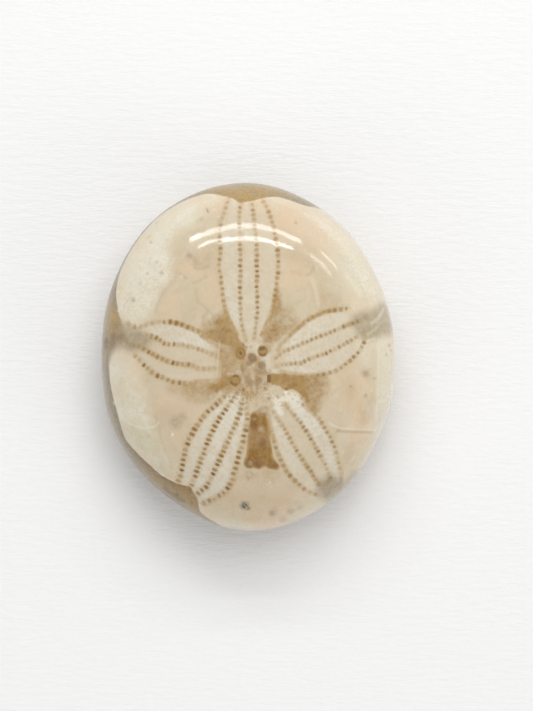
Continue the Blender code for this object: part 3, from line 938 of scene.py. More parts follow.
# small marks: (x, y, radius, strength) spots, and lines as points with a width and a strength
marks = {
    "darkSpots": [
        (0.26, 0.8, 0.13, 0.35), (-0.36, -2.8, 0.14, 0.6), (2.53, -3.4, 0.13, 0.5), (3.22, -2.75, 0.11, 0.9),
        (1.79, -3.5, 0.12, 0.5), (1.46, -2.67, 0.14, 0.4), (2.68, 0.09, 0.12, 0.3), (2.39, -0.12, 0.12, 0.3),
        (3.0, -3.22, 0.09, 0.35), (3.5, -3.15, 0.09, 0.35), (3.75, -3.55, 0.1, 0.35), (4.2, -3.8, 0.1, 0.4),
        (4.5, -3.5, 0.1, 0.4), (4.62, -4.05, 0.12, 0.6), (0.51, -5.73, 0.36, 0.55), (1.17, -7.28, 0.3, 0.6),
        (0.42, -7.96, 0.25, 0.3), (1.9, -9.2, 0.2, 0.4), (-2.17, 1.6, 0.22, 0.3), (-6.11, -11.84, 0.2, 1.0),
        (9.96, 3.3, 0.26, 0.15), (9.69, 1.78, 0.34, 0.15), (7.37, -11.04, 0.34, 0.15),
        (7.88, -10.62, 0.2, 0.25), (6.93, -10.32, 0.2, 0.3),
        (-9.1, 1.95, 0.22, 0.2), (-8.59, 1.52, 0.17, 0.2), (-9.62, 0.89, 0.34, 0.12), (-10.8, 1.6, 0.4, 0.5),
        (-10.31, 1.4, 0.26, 0.4), (-11.43, 1.71, 0.28, 0.6), (-11.52, 1.11, 0.34, 0.4),
        (-11.3, 2.72, 0.45, 0.2),
        (-12.15, 1.29, 0.24, 0.9), (2.02, -13.3, 0.22, 0.45), (3.63, -13.15, 0.3, 0.3),
        (4.4, -12.81, 0.19, 0.25), (2.96, -13.87, 0.3, 0.25), (9.94, -1.42, 0.26, 0.35),
        (10.73, -1.85, 0.1, 0.3), (9.95, -3.28, 0.13, 0.4), (8.66, -2.51, 0.13, 0.3),
        (12.02, 0.95, 0.13, 0.5),
        (12.16, 0.52, 0.09, 0.5), (11.74, 0.18, 0.11, 0.35), (1.26, -7.11, 0.26, 0.5),
        (0.84, -8.97, 0.26, 0.7), (-0.09, -9.06, 0.17, 0.6), (2.27, -9.15, 0.26, 0.5),
        (0.42, -8.04, 0.2, 0.35), (0.04, -10.33, 0.1, 0.4), (1.17, -7.62, 0.11, 0.35),
        (4.04, 11.33, 0.13, 0.4), (-2.76, 3.28, 0.17, 0.3), (12.07, -1.35, 0.09, 0.2),
        (10.68, -1.85, 0.1, 0.3),
    ],
    "greySpots": [
        (-7.69, 7.98, 0.12, 0.35), (-8.5, 7.02, 0.12, 0.35), (-9.13, 6.18, 0.14, 0.25),
        (-9.68, 4.78, 0.17, 0.5),
        (-8.24, 9.68, 0.12, 0.4), (-8.44, 10.17, 0.1, 0.3), (-7.78, 11.43, 0.1, 0.3),
        (-3.43, 12.48, 0.11, 0.6), (-3.42, 12.28, 0.11, 0.6), (-3.94, 11.63, 0.17, 0.3),
        (-4.24, 11.42, 0.13, 0.2), (-0.3, -12.6, 0.32, 1.0), (-0.02, -12.8, 0.2, 0.8),
        (-0.12, -12.4, 0.16, 0.7), (-6.06, -5.53, 0.5, 0.3), (-5.45, -5.02, 0.35, 0.25),
        (-7.34, 7.09, 0.14, 0.3), (-9.05, 6.17, 0.16, 0.2), (-4.95, 8.45, 0.3, 0.24),
        (-4.37, 7.9, 0.35, 0.16),
        (2.2, -13.2, 0.4, 0.2),
    ],
    "paleSpots": [
        (1.1, -6.06, 0.22, 0.3), (1.3, -6.3, 0.14, 0.2), (0.84, -7.03, 0.1, 0.1), (0.2, -8.95, 0.2, 0.15),
        (0.55, -5.25, 0.14, 0.12), (3.2, -2.98, 0.14, 1.0), (-11.03, 5.53, 0.11, 0.6),
        (-10.98, 3.87, 0.12, 0.8), (-9.8, 2.88, 0.11, 0.6), (-9.28, 2.62, 0.11, 0.6),
        (-8.03, 1.69, 0.11, 0.3),
        (-6.33, -6.57, 0.11, 1.0), (-11.4, -3.94, 0.14, 0.6), (-5.55, 6.77, 0.12, 0.5),
        (11.18, -3.77, 0.14, 0.5), (11.55, -3.79, 0.14, 0.5),
    ],
    "paleLines": [
        ([(-10.44, -5.41), (-9.13, -5.99), (-7.84, -5.88), (-7.41, -5.37)], 0.12, 0.5),
        ([(11.57, 4.27), (11.37, 3.75), (10.92, 3.14), (10.3, 2.71)], 0.26, 0.35),
        ([(11.09, 2.55), (10.47, 2.12), (9.95, 1.78)], 0.22, 0.25),
        ([(9.94, 1.27), (10.38, 1.4), (10.82, 1.53)], 0.14, 0.45),
        ([(5.29, 6.82), (5.62, 5.8), (5.87, 4.71), (5.96, 4.04)], 0.3, 0.28),
        ([(8.18, 7.27), (8.77, 6.34), (9.28, 5.5), (9.71, 4.91)], 0.3, 0.3),
        ([(6.7, -5.3), (7.05, -5.72), (7.74, -6.0), (8.59, -6.14), (9.63, -6.2), (10.75, -6.3), (10.9, -6.05),
          (10.82, -5.81)], 0.1, 0.42),
        ([(11.02, 1.62), (11.02, -0.33), (11.01, -2.02), (10.95, -3.81), (10.88, -5.7)], 0.12, 0.3),
        ([(-7.39, -10.0), (-7.05, -10.07)], 0.12, 0.6),
        ([(-2.34, 1.6), (-2.45, 0.3), (-2.51, -0.32), (-2.6, -2.0)], 0.06, 0.3),
    ],
    "darkLines": [
        ([(-5.05, 8.25), (-4.88, 8.51), (-4.54, 8.25), (-4.29, 7.91), (-3.53, 7.73)], 0.18, 0.13),
        ([(-4.62, 7.57), (-4.2, 7.4), (-3.7, 7.48), (-3.11, 7.65)], 0.16, 0.2),
        ([(-4.28, 6.05), (-4.27, 4.79), (-3.77, 4.28), (-3.01, 3.61), (-2.42, 3.19)], 0.12, 0.13),
        ([(-3.36, 6.89), (-3.94, 6.39), (-4.87, 6.14)], 0.12, 0.14),
        ([(-5.97, 7.07), (-5.46, 6.82), (-5.12, 6.48)], 0.12, 0.2),
        ([(-6.06, 7.75), (-6.06, 6.65), (-6.73, 5.81), (-7.32, 4.97), (-7.65, 4.13),
          (-7.82, 3.37)], 0.14, 0.12),
        ([(-7.34, 7.17), (-7.08, 6.83)], 0.12, 0.25),
        ([(-7.83, -4.45), (-7.58, -5.8), (-7.25, -7.07), (-6.75, -8.34), (-6.26, -9.62)], 0.12, 0.1),
        ([(5.63, 7.67), (5.29, 7.07), (4.87, 6.73)], 0.12, 0.15),
        ([(3.52, 7.14), (4.03, 7.06), (4.53, 6.73)], 0.12, 0.12),
        ([(7.32, -6.22), (8.17, -6.31), (9.46, -6.36), (10.88, -6.45)], 0.12, 0.3),
        ([(-3.26, 3.95), (-3.52, 3.53), (-3.93, 3.19)], 0.14, 0.2),
        ([(0.8, -4.68), (1.01, -4.47), (1.34, -4.3), (1.68, -4.26)], 0.16, 0.3),
        ([(1.3, -4.89), (1.72, -4.76)], 0.16, 0.35),
        ([(1.25, -8.7), (1.17, -8.85), (1.01, -9.06), (0.75, -9.32)], 0.36, 0.5),
        ([(-0.2, -8.8), (-0.16, -9.1), (0.02, -9.25), (0.3, -9.25)], 0.16, 0.7),
        ([(0.3, -5.15), (0.38, -4.98), (0.55, -4.92), (0.75, -5.0)], 0.16, 0.7),
        ([(-7.4, -11.0), (-6.8, -11.55), (-6.2, -12.0), (-5.6, -12.34), (-5.3, -12.4)], 0.2, 0.7),
        ([(-4.95, -12.4), (-4.65, -12.55)], 0.2, 0.7),
        ([(-12.17, 1.7), (-12.17, 0.6)], 0.22, 0.6),
        ([(-11.47, 1.9), (-11.47, 1.0)], 0.2, 0.5),
    ],
    # thin dark rings: (x, y, radius, strength)
    "rings": [
        (0.17, -8.95, 0.34, 0.6), (0.12, -9.91, 0.26, 0.25), (0.55, -5.2, 0.26, 0.4),
        (-2.68, 3.19, 0.3, 0.22),
        (-2.17, 1.6, 0.26, 0.25), (2.56, 3.19, 0.3, 0.2), (2.35, 2.02, 0.28, 0.12), (5.36, -2.67, 0.3, 0.2),
        (-3.09, -3.34, 0.24, 0.15), (1.43, -7.6, 0.12, 0.2),
    ],
    "stipple": ((0.2, -2.9), (2.4, 0.9)),  # centre and radii of the field of tiny specks behind the apex
}


def ringMask(ring, width=0.15):
    x, y, radius, strength = ring
    distance = np.abs(np.hypot(plan[:, 0] - x, plan[:, 1] - y) - radius)
    return strength * smoothStep(width, 0.02, distance) * onTop


darkParts = [laySpots(marks["darkSpots"]), layLines(marks["darkLines"], 0.14), *map(ringMask, marks["rings"])]
paleParts = [laySpots(marks["paleSpots"]), layLines(marks["paleLines"], 0.05)]
fields["marks"] = np.stack([strongestOf(darkParts), laySpots(marks["greySpots"]), strongestOf(paleParts)], -1)
fields["stipple"] = spotMask(*marks["stipple"], edge=0.5) * (1 - 0.7 * fields["pale"])
print("small marks laid out")


# the worn band round the margin, where the shell is gone and the grey filling shows
# edges by azimuth in degrees: how far above the rim the shell stops, and how far below it starts again
wornBand = {
    "upper": [
        (0, -1.6), (20, -1.3), (40, -1.8), (55, -0.6), (62, 0.6), (64, 1.64), (67.6, 2.76), (71.3, 3.18),
        (78.8, 3.4),
        (84, 3.94), (87.6, 4.48), (93.3, 4.75), (95.8, 4.07), (98.2, 3.8), (104.8, 2.6), (114, 2.1),
        (122, 1.9),
        (132, 2.0), (139, 2.05), (148, 2.45), (155, 3.3), (160, 4.2), (164, 4.81), (168, 5.08), (171, 4.9),
        (177, 3.97), (183.5, 3.49), (190, 3.53), (198, 3.74), (206, 3.74), (214, 3.33), (222, 3.79),
        (228, 4.11),
        (233, 4.12), (238, 4.5), (241, 4.62), (245.8, 5.26), (247.2, 5.0), (250.7, 4.43), (252.8, 2.9),
        (258.7, 2.07),
        (263, 0.6), (270, -0.9), (290, -1.5), (305, -0.5), (320, -1.2), (340, -1.8),
    ],
    "lower": [
        (0, 2.7), (30, 2.3), (60, 2.9), (90, 3.4), (120, 2.5), (150, 3.1), (180, 3.4), (210, 2.7), (240, 3.4),
        (270, 2.6), (300, 3.0), (330, 2.4),
    ],
    # how tan rather than grey the filling is, how dark, and how soft its upper edge, by azimuth
    "tan": [
        (0, 0.2), (60, 0.2), (72, 0.35), (80, 0.75), (86, 1.0), (90, 1.0), (94, 1.0), (100, 0.75),
        (110, 0.15),
        (156, 0.1), (160, 0.7), (164, 1.0), (169, 1.0), (173, 0.4), (185, 0.1), (218, 0.25), (230, 0.6),
        (238, 1.0), (249, 1.0), (255, 0.4), (300, 0.2),
    ],
    # how dark just under the shell's edge: part real streaks, part a painted shadow of the shell's edge,
    # darkest on the lower left, away from the lights
    "dark": [
        (0, 0.3), (60, 0.5), (75, 0.2), (95, 0.1), (110, 0.6), (130, 0.8), (154, 0.6), (160, 0.25),
        (168, 0.05), (173, 0.5),
        (176, 0.7), (180, 0.5), (200, 0.55), (215, 0.8), (226, 1.0), (240, 1.0), (252, 0.75), (270, 0.4),
    ],
    "soft": [
        (0, 0.2), (50, 0.2), (64, 0.07), (150, 0.07), (164, 0.25), (170, 0.8), (178, 0.8), (184, 0.2),
        (192, 0.07),
        (238, 0.07), (246, 0.1), (252, 0.35), (262, 0.5), (290, 0.2),
    ],
}


def roundTheRim(pairs, blur=2):
    # a value by azimuth at every vertex, from (degrees, value) pairs
    degrees, values = zip(*pairs)
    fine = np.interp(np.arange(720) / 2, degrees, values, period=360)
    for step in range(blur):
        fine = (np.roll(fine, 1) + 2 * fine + np.roll(fine, -1)) / 4
    return np.interp(np.degrees(azimuth), np.arange(720) / 2, fine, period=360)


aboveRim = rimLength - reach
fields["worn"] = np.stack(
    [
        roundTheRim(wornBand["upper"]) - aboveRim,  # distance into the band from its upper edge
        aboveRim + roundTheRim(wornBand["lower"], 6),  # and from its lower edge
        roundTheRim(wornBand["tan"], 8),
    ],
    -1,
)
# darkness just under the shell's edge by azimuth: part real streaks, part painted shadow
fields["wornDarkAndShadow"] = roundTheRim(wornBand["dark"], 8)
fields["wornSoft"] = roundTheRim(wornBand["soft"], 4)
intoTheBand = np.minimum(fields["worn"][:, 0], fields["worn"][:, 1])
wornMask = smoothStep(-fields["wornSoft"], 1.4 * fields["wornSoft"], intoTheBand)


# sides and underside: five narrow pore zones run on from the petals to the mouth
underside = {
    "zoneAngles": (90.0, 16.0, 303.0, 248.0, 170.0),  # azimuths at which the pore zones cross the rim
    "zoneHalfWidth": (0.75, 0.55),  # at the rim and by the mouth
    "porePitch": 0.5,
    "poreAcross": 0.15,
    "poreStrength": 0.75,
    "swelling": (0.86, 0.05, 0.5),  # beside the mouth: where, over what share of the way, how much wider
    "mouthCentre": (0.2, 0.9),
    "mouthHalfSize": (1.9, 1.5, 0.8),
    "ventCentre": (0.1, -10.6, 0.1),
    "ventHalfSize": (1.35, 0.9, 0.75),
    "plateHeight": 1.9,
    "furrowDepth": 0.16,
}


def layUnderside():
    # each place below the rim is measured from the nearest pore zone's middle line, which runs to the mouth
    below = np.flatnonzero(latitude < 0)
    places = plan[below]
    mouth = np.array(underside["mouthCentre"])
    bestSide = np.full(len(below), 99.0)
    zoneNumber = np.zeros(len(below), int)
    alongZone = np.zeros(len(below))
    for index, degrees in enumerate(underside["zoneAngles"]):
        angle = math.radians(degrees)
        outer = float(planRadius(np.array(angle))) * np.array([math.cos(angle), math.sin(angle)])
        inward = (mouth - outer) / np.hypot(*(mouth - outer))
        gap = places - outer
        along = gap @ inward
        side = inward[0] * gap[:, 1] - inward[1] * gap[:, 0]
        towards = (places - mouth) @ -inward > -0.5
        closer = (np.abs(side) < np.abs(bestSide)) & towards
        bestSide[closer] = side[closer]
        zoneNumber[closer] = index
        alongZone[closer] = along[closer]
    share = np.clip(belowRim[below] / (sectionLength - rimLength), 0, 1)
    startWidth, endWidth = underside["zoneHalfWidth"]
    halfWidth = startWidth + (endWidth - startWidth) * share
    where, extent, gain = underside["swelling"]
    halfWidth = halfWidth * (1 + gain * np.exp(-(((share - where) / extent) ** 2)))
    fromRow = np.abs(bestSide) - halfWidth
    number = belowRim[below] / underside["porePitch"]
    mouthGap = np.hypot(*((places - mouth) / np.array(underside["mouthHalfSize"][:2])).T)
    strength = smoothStep(0.6, 1.8, belowRim[below]) * smoothStep(1.0, 1.15, mouthGap)
    strength *= underside["poreStrength"]
    strength *= smoothStep(rowStyle["reach"], rowStyle["reach"] - 0.15, np.abs(fromRow))
    leftRow = bestSide > 0
    for name, rows in (("poresEven", leftRow), ("poresOdd", ~leftRow)):
        chosen = below[rows]
        fields[name][chosen, 0] = number[rows] + rowStyle["numberGap"] * (20 + zoneNumber[rows])
        fields[name][chosen, 1] = fromRow[rows] / underside["poreAcross"]
        fields[name][chosen, 2] = strength[rows]
    fields["flank"] = np.zeros((len(stone), 3))
    fields["flank"][below, 0] = belowRim[below] / underside["plateHeight"]
    fields["flank"][below, 1] = bestSide
    fields["flank"][below, 2] = smoothStep(0.0, 1.0, belowRim[below])
    furrow = smoothStep(halfWidth, 0, np.abs(bestSide)) * smoothStep(0.25, 0.6, share)
    furrow *= smoothStep(1.0, 1.3, mouthGap)
    lift = np.zeros(len(stone))
    lift[below] = furrow * underside["furrowDepth"]
    return lift, mouthGap, below


furrowLift, mouthGap, below = layUnderside()
print("underside laid out")


# relief: everything that stands in or out of the smooth dome
relief = {
    "wave": 0.015,  # slow unevenness left by polishing
    "waveLength": 2.6,
    "ripple": 0.003,
    "rippleLength": 0.7,
    "poreDepth": 0.006,
    "poreHalfLength": 0.34,  # as a share of the distance from pore to pore
    "openingDepth": 0.02,
    "slotDepth": 0.02,
    "wornDepth": 0.06,
    "wornRoughness": 0.02,
    "wornGrain": 0.5,
    "plateDepth": 0.008,
}


def unevenness(points, length, seed):
    scaled = points / length + np.array([17.3, 5.1, 9.7]) * seed
    return np.array([noise.noise(Vector(point)) for point in scaled])


def poreShape(field):
    number, across, strength = field.T
    along = (number - np.round(number)) / relief["poreHalfLength"]
    return smoothStep(1.3, 0.4, np.hypot(along, across)) * strength


def surfaceNormals():
    # by finite differences of the dome formula
    nudge = 1e-3
    up = domePoints(azimuth, np.clip(latitude + nudge, -math.pi / 2 + 1e-4, math.pi / 2 - 1e-4))
    down = domePoints(azimuth, np.clip(latitude - nudge, -math.pi / 2 + 1e-4, math.pi / 2 - 1e-4))
    left = domePoints(azimuth + nudge, latitude)
    right = domePoints(azimuth - nudge, latitude)
    normal = np.cross(left - right, up - down)
    size = np.linalg.norm(normal, axis=1, keepdims=True)
    normal = np.where(size > 1e-9, normal / np.maximum(size, 1e-9), [0, 0, 1])
    normal[0] = (0, 0, 1)
    normal[-1] = (0, 0, -1)
    return normal


def shapeStone():
    normal = surfaceNormals()
    dark, edges, fills = fields["openings"].T
    depth = relief["poreDepth"] * np.maximum(poreShape(fields["poresEven"]), poreShape(fields["poresOdd"]))
    depth += relief["openingDepth"] * smoothStep(0.4, 0.9, fills) + relief["slotDepth"] * dark
    depth += relief["plateDepth"] * fields["plates"]
    rough = unevenness(stone, relief["wornGrain"], 3) * relief["wornRoughness"]
    depth += wornMask * (relief["wornDepth"] + rough)
    raised = relief["wave"] * unevenness(stone, relief["waveLength"], 1)
    raised += relief["ripple"] * unevenness(stone, relief["rippleLength"], 2)
    shaped = stone + normal * (raised - depth)[:, None]
    # mouth and vent are hollows in the underside
    lift = furrowLift.copy()
    mouthHeight = underside["mouthHalfSize"][2] * np.sqrt(np.maximum(1 - mouthGap**2, 0))
    lift[below] = np.maximum(lift[below], mouthHeight)
    ventX, ventY, ventZ = underside["ventCentre"]
    halfX, halfY, halfZ = underside["ventHalfSize"]
    ventGap = np.hypot((plan[below, 0] - ventX) / halfX, (plan[below, 1] - ventY) / halfY)
    roof = ventZ + halfZ * np.sqrt(np.maximum(1 - ventGap**2, 0))
    lift[below] = np.maximum(lift[below], np.where(ventGap < 1, roof - shaped[below, 2], 0))
    shaped[:, 2] += lift
    return shaped, ventGap


shaped, ventGap = shapeStone()
# where the mouth and vent hollows are painted darker
cavity = np.zeros(len(stone))
cavity[below] = np.maximum(smoothStep(1.25, 0.7, mouthGap), smoothStep(1.3, 0.7, ventGap))
fields["cavity"] = cavity
lowest = shaped[:, 2].min()
shaped[:, 2] -= lowest
limitLow = np.array(cadLow) / mm
limitHigh = np.array(cadHigh) / mm
shaped = np.clip(shaped, limitLow, limitHigh)
print("relief shaped; lowest point was", round(float(lowest), 4), "mm")


# the mesh
def ringFaces(columns, rings):
    # one fan at the crown, quads between rings, one fan underneath
    nextColumn = np.roll(np.arange(columns), -1)
    first = 1 + np.arange(columns)
    fan = np.stack([np.zeros(columns, int), first, first[nextColumn]], -1).tolist()
    quads = []
    for ring in range(rings - 1):
        upper = 1 + ring * columns + np.arange(columns)
        lower = upper + columns
        quads += np.stack([upper, lower, lower[nextColumn], upper[nextColumn]], -1).tolist()
    last = 1 + (rings - 1) * columns + np.arange(columns)
    bottom = last[-1] + 1
    return fan + quads + np.stack([last, np.full(columns, bottom), last[nextColumn]], -1).tolist()


def addFields(mesh):
    for name, values in fields.items():
        if values.ndim == 1:
            attribute = mesh.attributes.new(name, "FLOAT", "POINT")
            attribute.data.foreach_set("value", values.astype(np.float32))
        else:
            attribute = mesh.attributes.new(name, "FLOAT_VECTOR", "POINT")
            attribute.data.foreach_set("vector", values.astype(np.float32).ravel())


# the flat layout used when the finish is baked: dome in a large disc, ground face in a small one
bakeLayout = {
    "domeCentre": (0.425, 0.425),
    "domeRadius": 0.415,
    "baseCentre": (0.835, 0.835),
    "baseRadius": 0.155,
    "squeezeFrom": 13.5,  # length from the crown past which the layout is squeezed
    "squeeze": 0.45,
    "splitBelowRim": 6.4,
}


def layFlat(mesh):
    split = rimLength + bakeLayout["splitBelowRim"]
    start = bakeLayout["squeezeFrom"]
    squeezed = np.where(reach < start, reach, start + (reach - start) * bakeLayout["squeeze"])
    fullReach = start + (split - start) * bakeLayout["squeeze"]
    oval = planRadius(azimuth) / max(dome["hourRadii"])
    outward = np.stack([np.cos(azimuth), np.sin(azimuth)], -1) * oval[:, None]
    domeReach = squeezed / fullReach * bakeLayout["domeRadius"]
    domeUv = np.array(bakeLayout["domeCentre"]) + outward * domeReach[:, None]
    fromMiddle = (sectionLength - reach) / (sectionLength - split)
    mirrored = outward * np.array([-1, 1])
    baseUv = np.array(bakeLayout["baseCentre"]) + mirrored * (fromMiddle * bakeLayout["baseRadius"])[:, None]
    layer = mesh.uv_layers.new(name="OFBake")
    corners = np.zeros(len(mesh.loops), int)
    mesh.loops.foreach_get("vertex_index", corners)
    starts = np.zeros(len(mesh.polygons), int)
    totals = np.zeros(len(mesh.polygons), int)
    mesh.polygons.foreach_get("loop_start", starts)
    mesh.polygons.foreach_get("loop_total", totals)
    faceReach = np.add.reduceat(reach[corners], starts) / totals
    onBase = np.repeat(faceReach > split, totals)
    uv = np.where(onBase[:, None], baseUv[corners], domeUv[corners])
    layer.data.foreach_set("uv", uv.astype(np.float32).ravel())


def buildStone():
    mesh = bpy.data.meshes.new("polishedUrchin")
    mesh.from_pydata((shaped * mm).tolist(), [], ringFaces(dome["columns"], len(latitudes)))
    mesh.validate()
    mesh.shade_smooth()
    addFields(mesh)
    layFlat(mesh)
    stoneObject = bpy.data.objects.new("polishedUrchin", mesh)
    bpy.context.scene.collection.objects.link(stoneObject)
    return stoneObject


urchin = buildStone()
print("mesh built:", len(urchin.data.polygons), "faces")


# node helpers
def connect(tree, value, socket):
    if isinstance(value, bpy.types.NodeSocket):
        tree.links.new(value, socket)
    else:
        socket.default_value = value


def addNode(tree, kind, inputs=None, **settings):
    node = tree.nodes.new(kind)
    for name, value in settings.items():
        setattr(node, name, value)
    for name, value in (inputs or {}).items():
        connect(tree, value, node.inputs[name])
    return node


def calc(tree, operation, first, second=0.0, third=0.0):
    node = addNode(tree, "ShaderNodeMath", {0: first, 1: second, 2: third}, operation=operation)
    return node.outputs[0]


def remap(tree, value, fromLow, fromHigh, toLow=0.0, toHigh=1.0):
    # a smooth step from one range to another
    inputs = {"Value": value, "From Min": fromLow, "From Max": fromHigh, "To Min": toLow, "To Max": toHigh}
    return addNode(tree, "ShaderNodeMapRange", inputs, interpolation_type="SMOOTHSTEP").outputs["Result"]


def mixColour(tree, amount, under, over, mode="MIX"):
    node = addNode(tree, "ShaderNodeMix", data_type="RGBA", blend_type=mode)
    connect(tree, amount, node.inputs[0])
    connect(tree, under, node.inputs[6])
    connect(tree, over, node.inputs[7])
    return node.outputs[2]


def readField(tree, name):
    node = addNode(tree, "ShaderNodeAttribute", attribute_name=name)
    if fields[name].ndim == 1:
        return node.outputs["Fac"]
    return node.outputs["Vector"]


def splitField(tree, name):
    parts = addNode(tree, "ShaderNodeSeparateXYZ", {0: readField(tree, name)})
    return parts.outputs["X"], parts.outputs["Y"], parts.outputs["Z"]


def noiseAt(tree, place, length, detail=2.0, roughness=0.5, distortion=0.0):
    # cloudy noise from 0 to 1, whose lumps are about length across
    inputs = {"Vector": place, "Scale": 1 / length, "Detail": detail, "Roughness": roughness}
    inputs["Distortion"] = distortion
    return addNode(tree, "ShaderNodeTexNoise", inputs).outputs["Fac"]


def paint(red, green, blue):
    # a screen colour, 0 to 255, as the linear colour that shaders use
    parts = [part / 255 for part in (red, green, blue)]
    return (*(((part + 0.055) / 1.055) ** 2.4 if part > 0.04 else part / 12.92 for part in parts), 1.0)


def newGroup(name, inputs, outputs):
    group = bpy.data.node_groups.new(name, "ShaderNodeTree")
    for socketName, socketType, default in inputs:
        socket = group.interface.new_socket(name=socketName, in_out="INPUT", socket_type=socketType)
        if default is not None:
            socket.default_value = default
    for socketName, socketType in outputs:
        group.interface.new_socket(name=socketName, in_out="OUTPUT", socket_type=socketType)
    return group, group.nodes.new("NodeGroupInput").outputs, group.nodes.new("NodeGroupOutput").inputs


def useGroup(tree, group, inputs):
    node = tree.nodes.new("ShaderNodeGroup")
    node.node_tree = group
    for name, value in inputs.items():
        connect(tree, value, node.inputs[name])
    return node.outputs


# node groups
def makePoreDots():
    # crisp oval pores from a row field: each pore has its own size, shade and place
    group, given, result = newGroup(
        "pore dots",
        [
            ("Row", "NodeSocketVector", None),
            ("Place", "NodeSocketVector", None),
            ("Half Length", "NodeSocketFloat", 0.28),
            ("Softness", "NodeSocketFloat", 0.55),
        ],
        [("Dot", "NodeSocketFloat"), ("Rim", "NodeSocketFloat"), ("Shade", "NodeSocketFloat")],
    )
    parts = addNode(group, "ShaderNodeSeparateXYZ", {0: given["Row"]})
    number, across, strength = parts.outputs["X"], parts.outputs["Y"], parts.outputs["Z"]
    which = calc(group, "ROUND", number)
    chance = addNode(group, "ShaderNodeTexWhiteNoise", {"W": which}, noise_dimensions="1D")
    pick = addNode(group, "ShaderNodeSeparateColor", {0: chance.outputs["Color"]})
    shift = calc(group, "MULTIPLY_ADD", pick.outputs[0], 0.22, -0.11)
    along = calc(group, "ADD", calc(group, "SUBTRACT", number, which), shift)
    size = calc(group, "MULTIPLY_ADD", pick.outputs[1], 0.4, 0.78)
    along = calc(group, "DIVIDE", along, calc(group, "MULTIPLY", size, given["Half Length"]))
    slide = calc(group, "MULTIPLY_ADD", pick.outputs[2], 0.5, -0.25)
    across = calc(group, "DIVIDE", calc(group, "ADD", across, slide), size)
    squared = calc(group, "ADD", calc(group, "POWER", calc(group, "ABSOLUTE", along), 2.3),
                   calc(group, "POWER", calc(group, "ABSOLUTE", across), 2.3))
    radius = calc(group, "POWER", squared, 1 / 2.3)
    wobble = noiseAt(group, given["Place"], 0.16, 1.0)
    radius = calc(group, "ADD", radius, calc(group, "MULTIPLY_ADD", wobble, 0.7, -0.35))
    softer = calc(group, "ADD", 1.0, given["Softness"])
    harder = calc(group, "SUBTRACT", 1.0, given["Softness"])
    dot = calc(group, "MULTIPLY", remap(group, radius, softer, harder), strength)
    hollow = remap(group, radius, 0.75, 0.35)
    rim = calc(group, "MULTIPLY", dot, calc(group, "SUBTRACT", 1.0, hollow))
    connect(group, dot, result["Dot"])
    connect(group, rim, result["Rim"])
    connect(group, chance.outputs["Value"], result["Shade"])
    return group


def makeRaggedEdge():
    # turns a distance into a mask whose edge wanders
    group, given, result = newGroup(
        "ragged edge",
        [
            ("Distance", "NodeSocketFloat", 0.0),
            ("Place", "NodeSocketVector", None),
            ("Wander", "NodeSocketFloat", 0.1),
            ("Softness", "NodeSocketFloat", 0.05),
        ],
        [("Mask", "NodeSocketFloat")],
    )
    coarse = noiseAt(group, given["Place"], 0.9, 3.0, 0.6)
    wander = calc(group, "MULTIPLY", calc(group, "SUBTRACT", coarse, 0.5), given["Wander"])
    distance = calc(group, "ADD", given["Distance"], wander)
    low = calc(group, "MULTIPLY", given["Softness"], -1.0)
    connect(group, remap(group, distance, low, given["Softness"]), result["Mask"])
    return group


poreDots = makePoreDots()
raggedEdge = makeRaggedEdge()


# the polished calcite
finish = {
    "cream": paint(220, 206, 179),
    "warmCream": paint(221, 199, 168),
    "coolCream": paint(212, 206, 188),
    "paleCream": paint(232, 225, 209),
    "marginCream": paint(224, 218, 197),
    "middleTan": paint(203, 187, 158),
    "pinkTint": paint(220, 193, 162),
    "oliveTint": paint(200, 190, 156),
    "deepTan": paint(190, 166, 130),
    "petalWhite": paint(219, 212, 194),
    "petalLine": paint(178, 165, 140),
    "stainBrown": paint(168, 136, 84),
    "stainDeep": paint(140, 98, 30),
    "smearBrown": paint(172, 139, 82),
    "poreBrown": paint(156, 121, 62),
    "poreDark": paint(124, 86, 32),
    "plateBrown": paint(138, 113, 84),
    "greyStone": paint(151, 135, 104),
    "wornGrey": paint(150, 142, 120),
    "wornPale": paint(170, 150, 116),
    "wornTan": paint(182, 148, 88),
    # dark worn patches low on the flank, and the painted shadow under the shell's edge
    "wornDarkAndShadow": paint(112, 84, 44),
    "darkMark": paint(112, 76, 34),
    "greyMark": paint(96, 90, 78),
    "paleMark": paint(238, 230, 210),
    "openingGold": paint(163, 132, 78),
    "slotDark": paint(102, 70, 30),
    "polish": 0.06,  # roughness of the polished shell
    "wornPolish": 0.32,
    "paleStrength": 0.8,
    "sutureStrength": 0.35,
    "smearStrength": 0.9,
    "greyStrength": 0.9,
    "middleStrength": 0.8,
    "ior": 1.5,
    "coatRoughness": 0.06,
    "coat": 0.35,
}


def creamTone(tree, place):
    # the shell's own cloudy cream: warm and cool drifts, pale wisps, tiny grains
    drift = noiseAt(tree, place, 5.5, 2.0, 0.5)
    cloud = noiseAt(tree, place, 1.7, 3.0, 0.55)
    wisp = noiseAt(tree, place, 0.7, 3.0, 0.6, 0.6)
    grain = noiseAt(tree, place, 0.12, 2.0, 0.6)
    tone = mixColour(tree, remap(tree, drift, 0.42, 0.62), finish["cream"], finish["warmCream"])
    cool = calc(tree, "MULTIPLY", remap(tree, cloud, 0.5, 0.7), 0.55)
    tone = mixColour(tree, cool, tone, finish["coolCream"])
    wisps = calc(tree, "MULTIPLY", remap(tree, wisp, 0.55, 0.75), 0.4)
    tone = mixColour(tree, wisps, tone, finish["paleCream"])
    grains = remap(tree, grain, 0.3, 0.7, 0.94, 1.04)
    grey = addNode(tree, "ShaderNodeCombineColor", {0: grains, 1: grains, 2: grains}).outputs[0]
    return mixColour(tree, 1.0, tone, grey, "MULTIPLY")


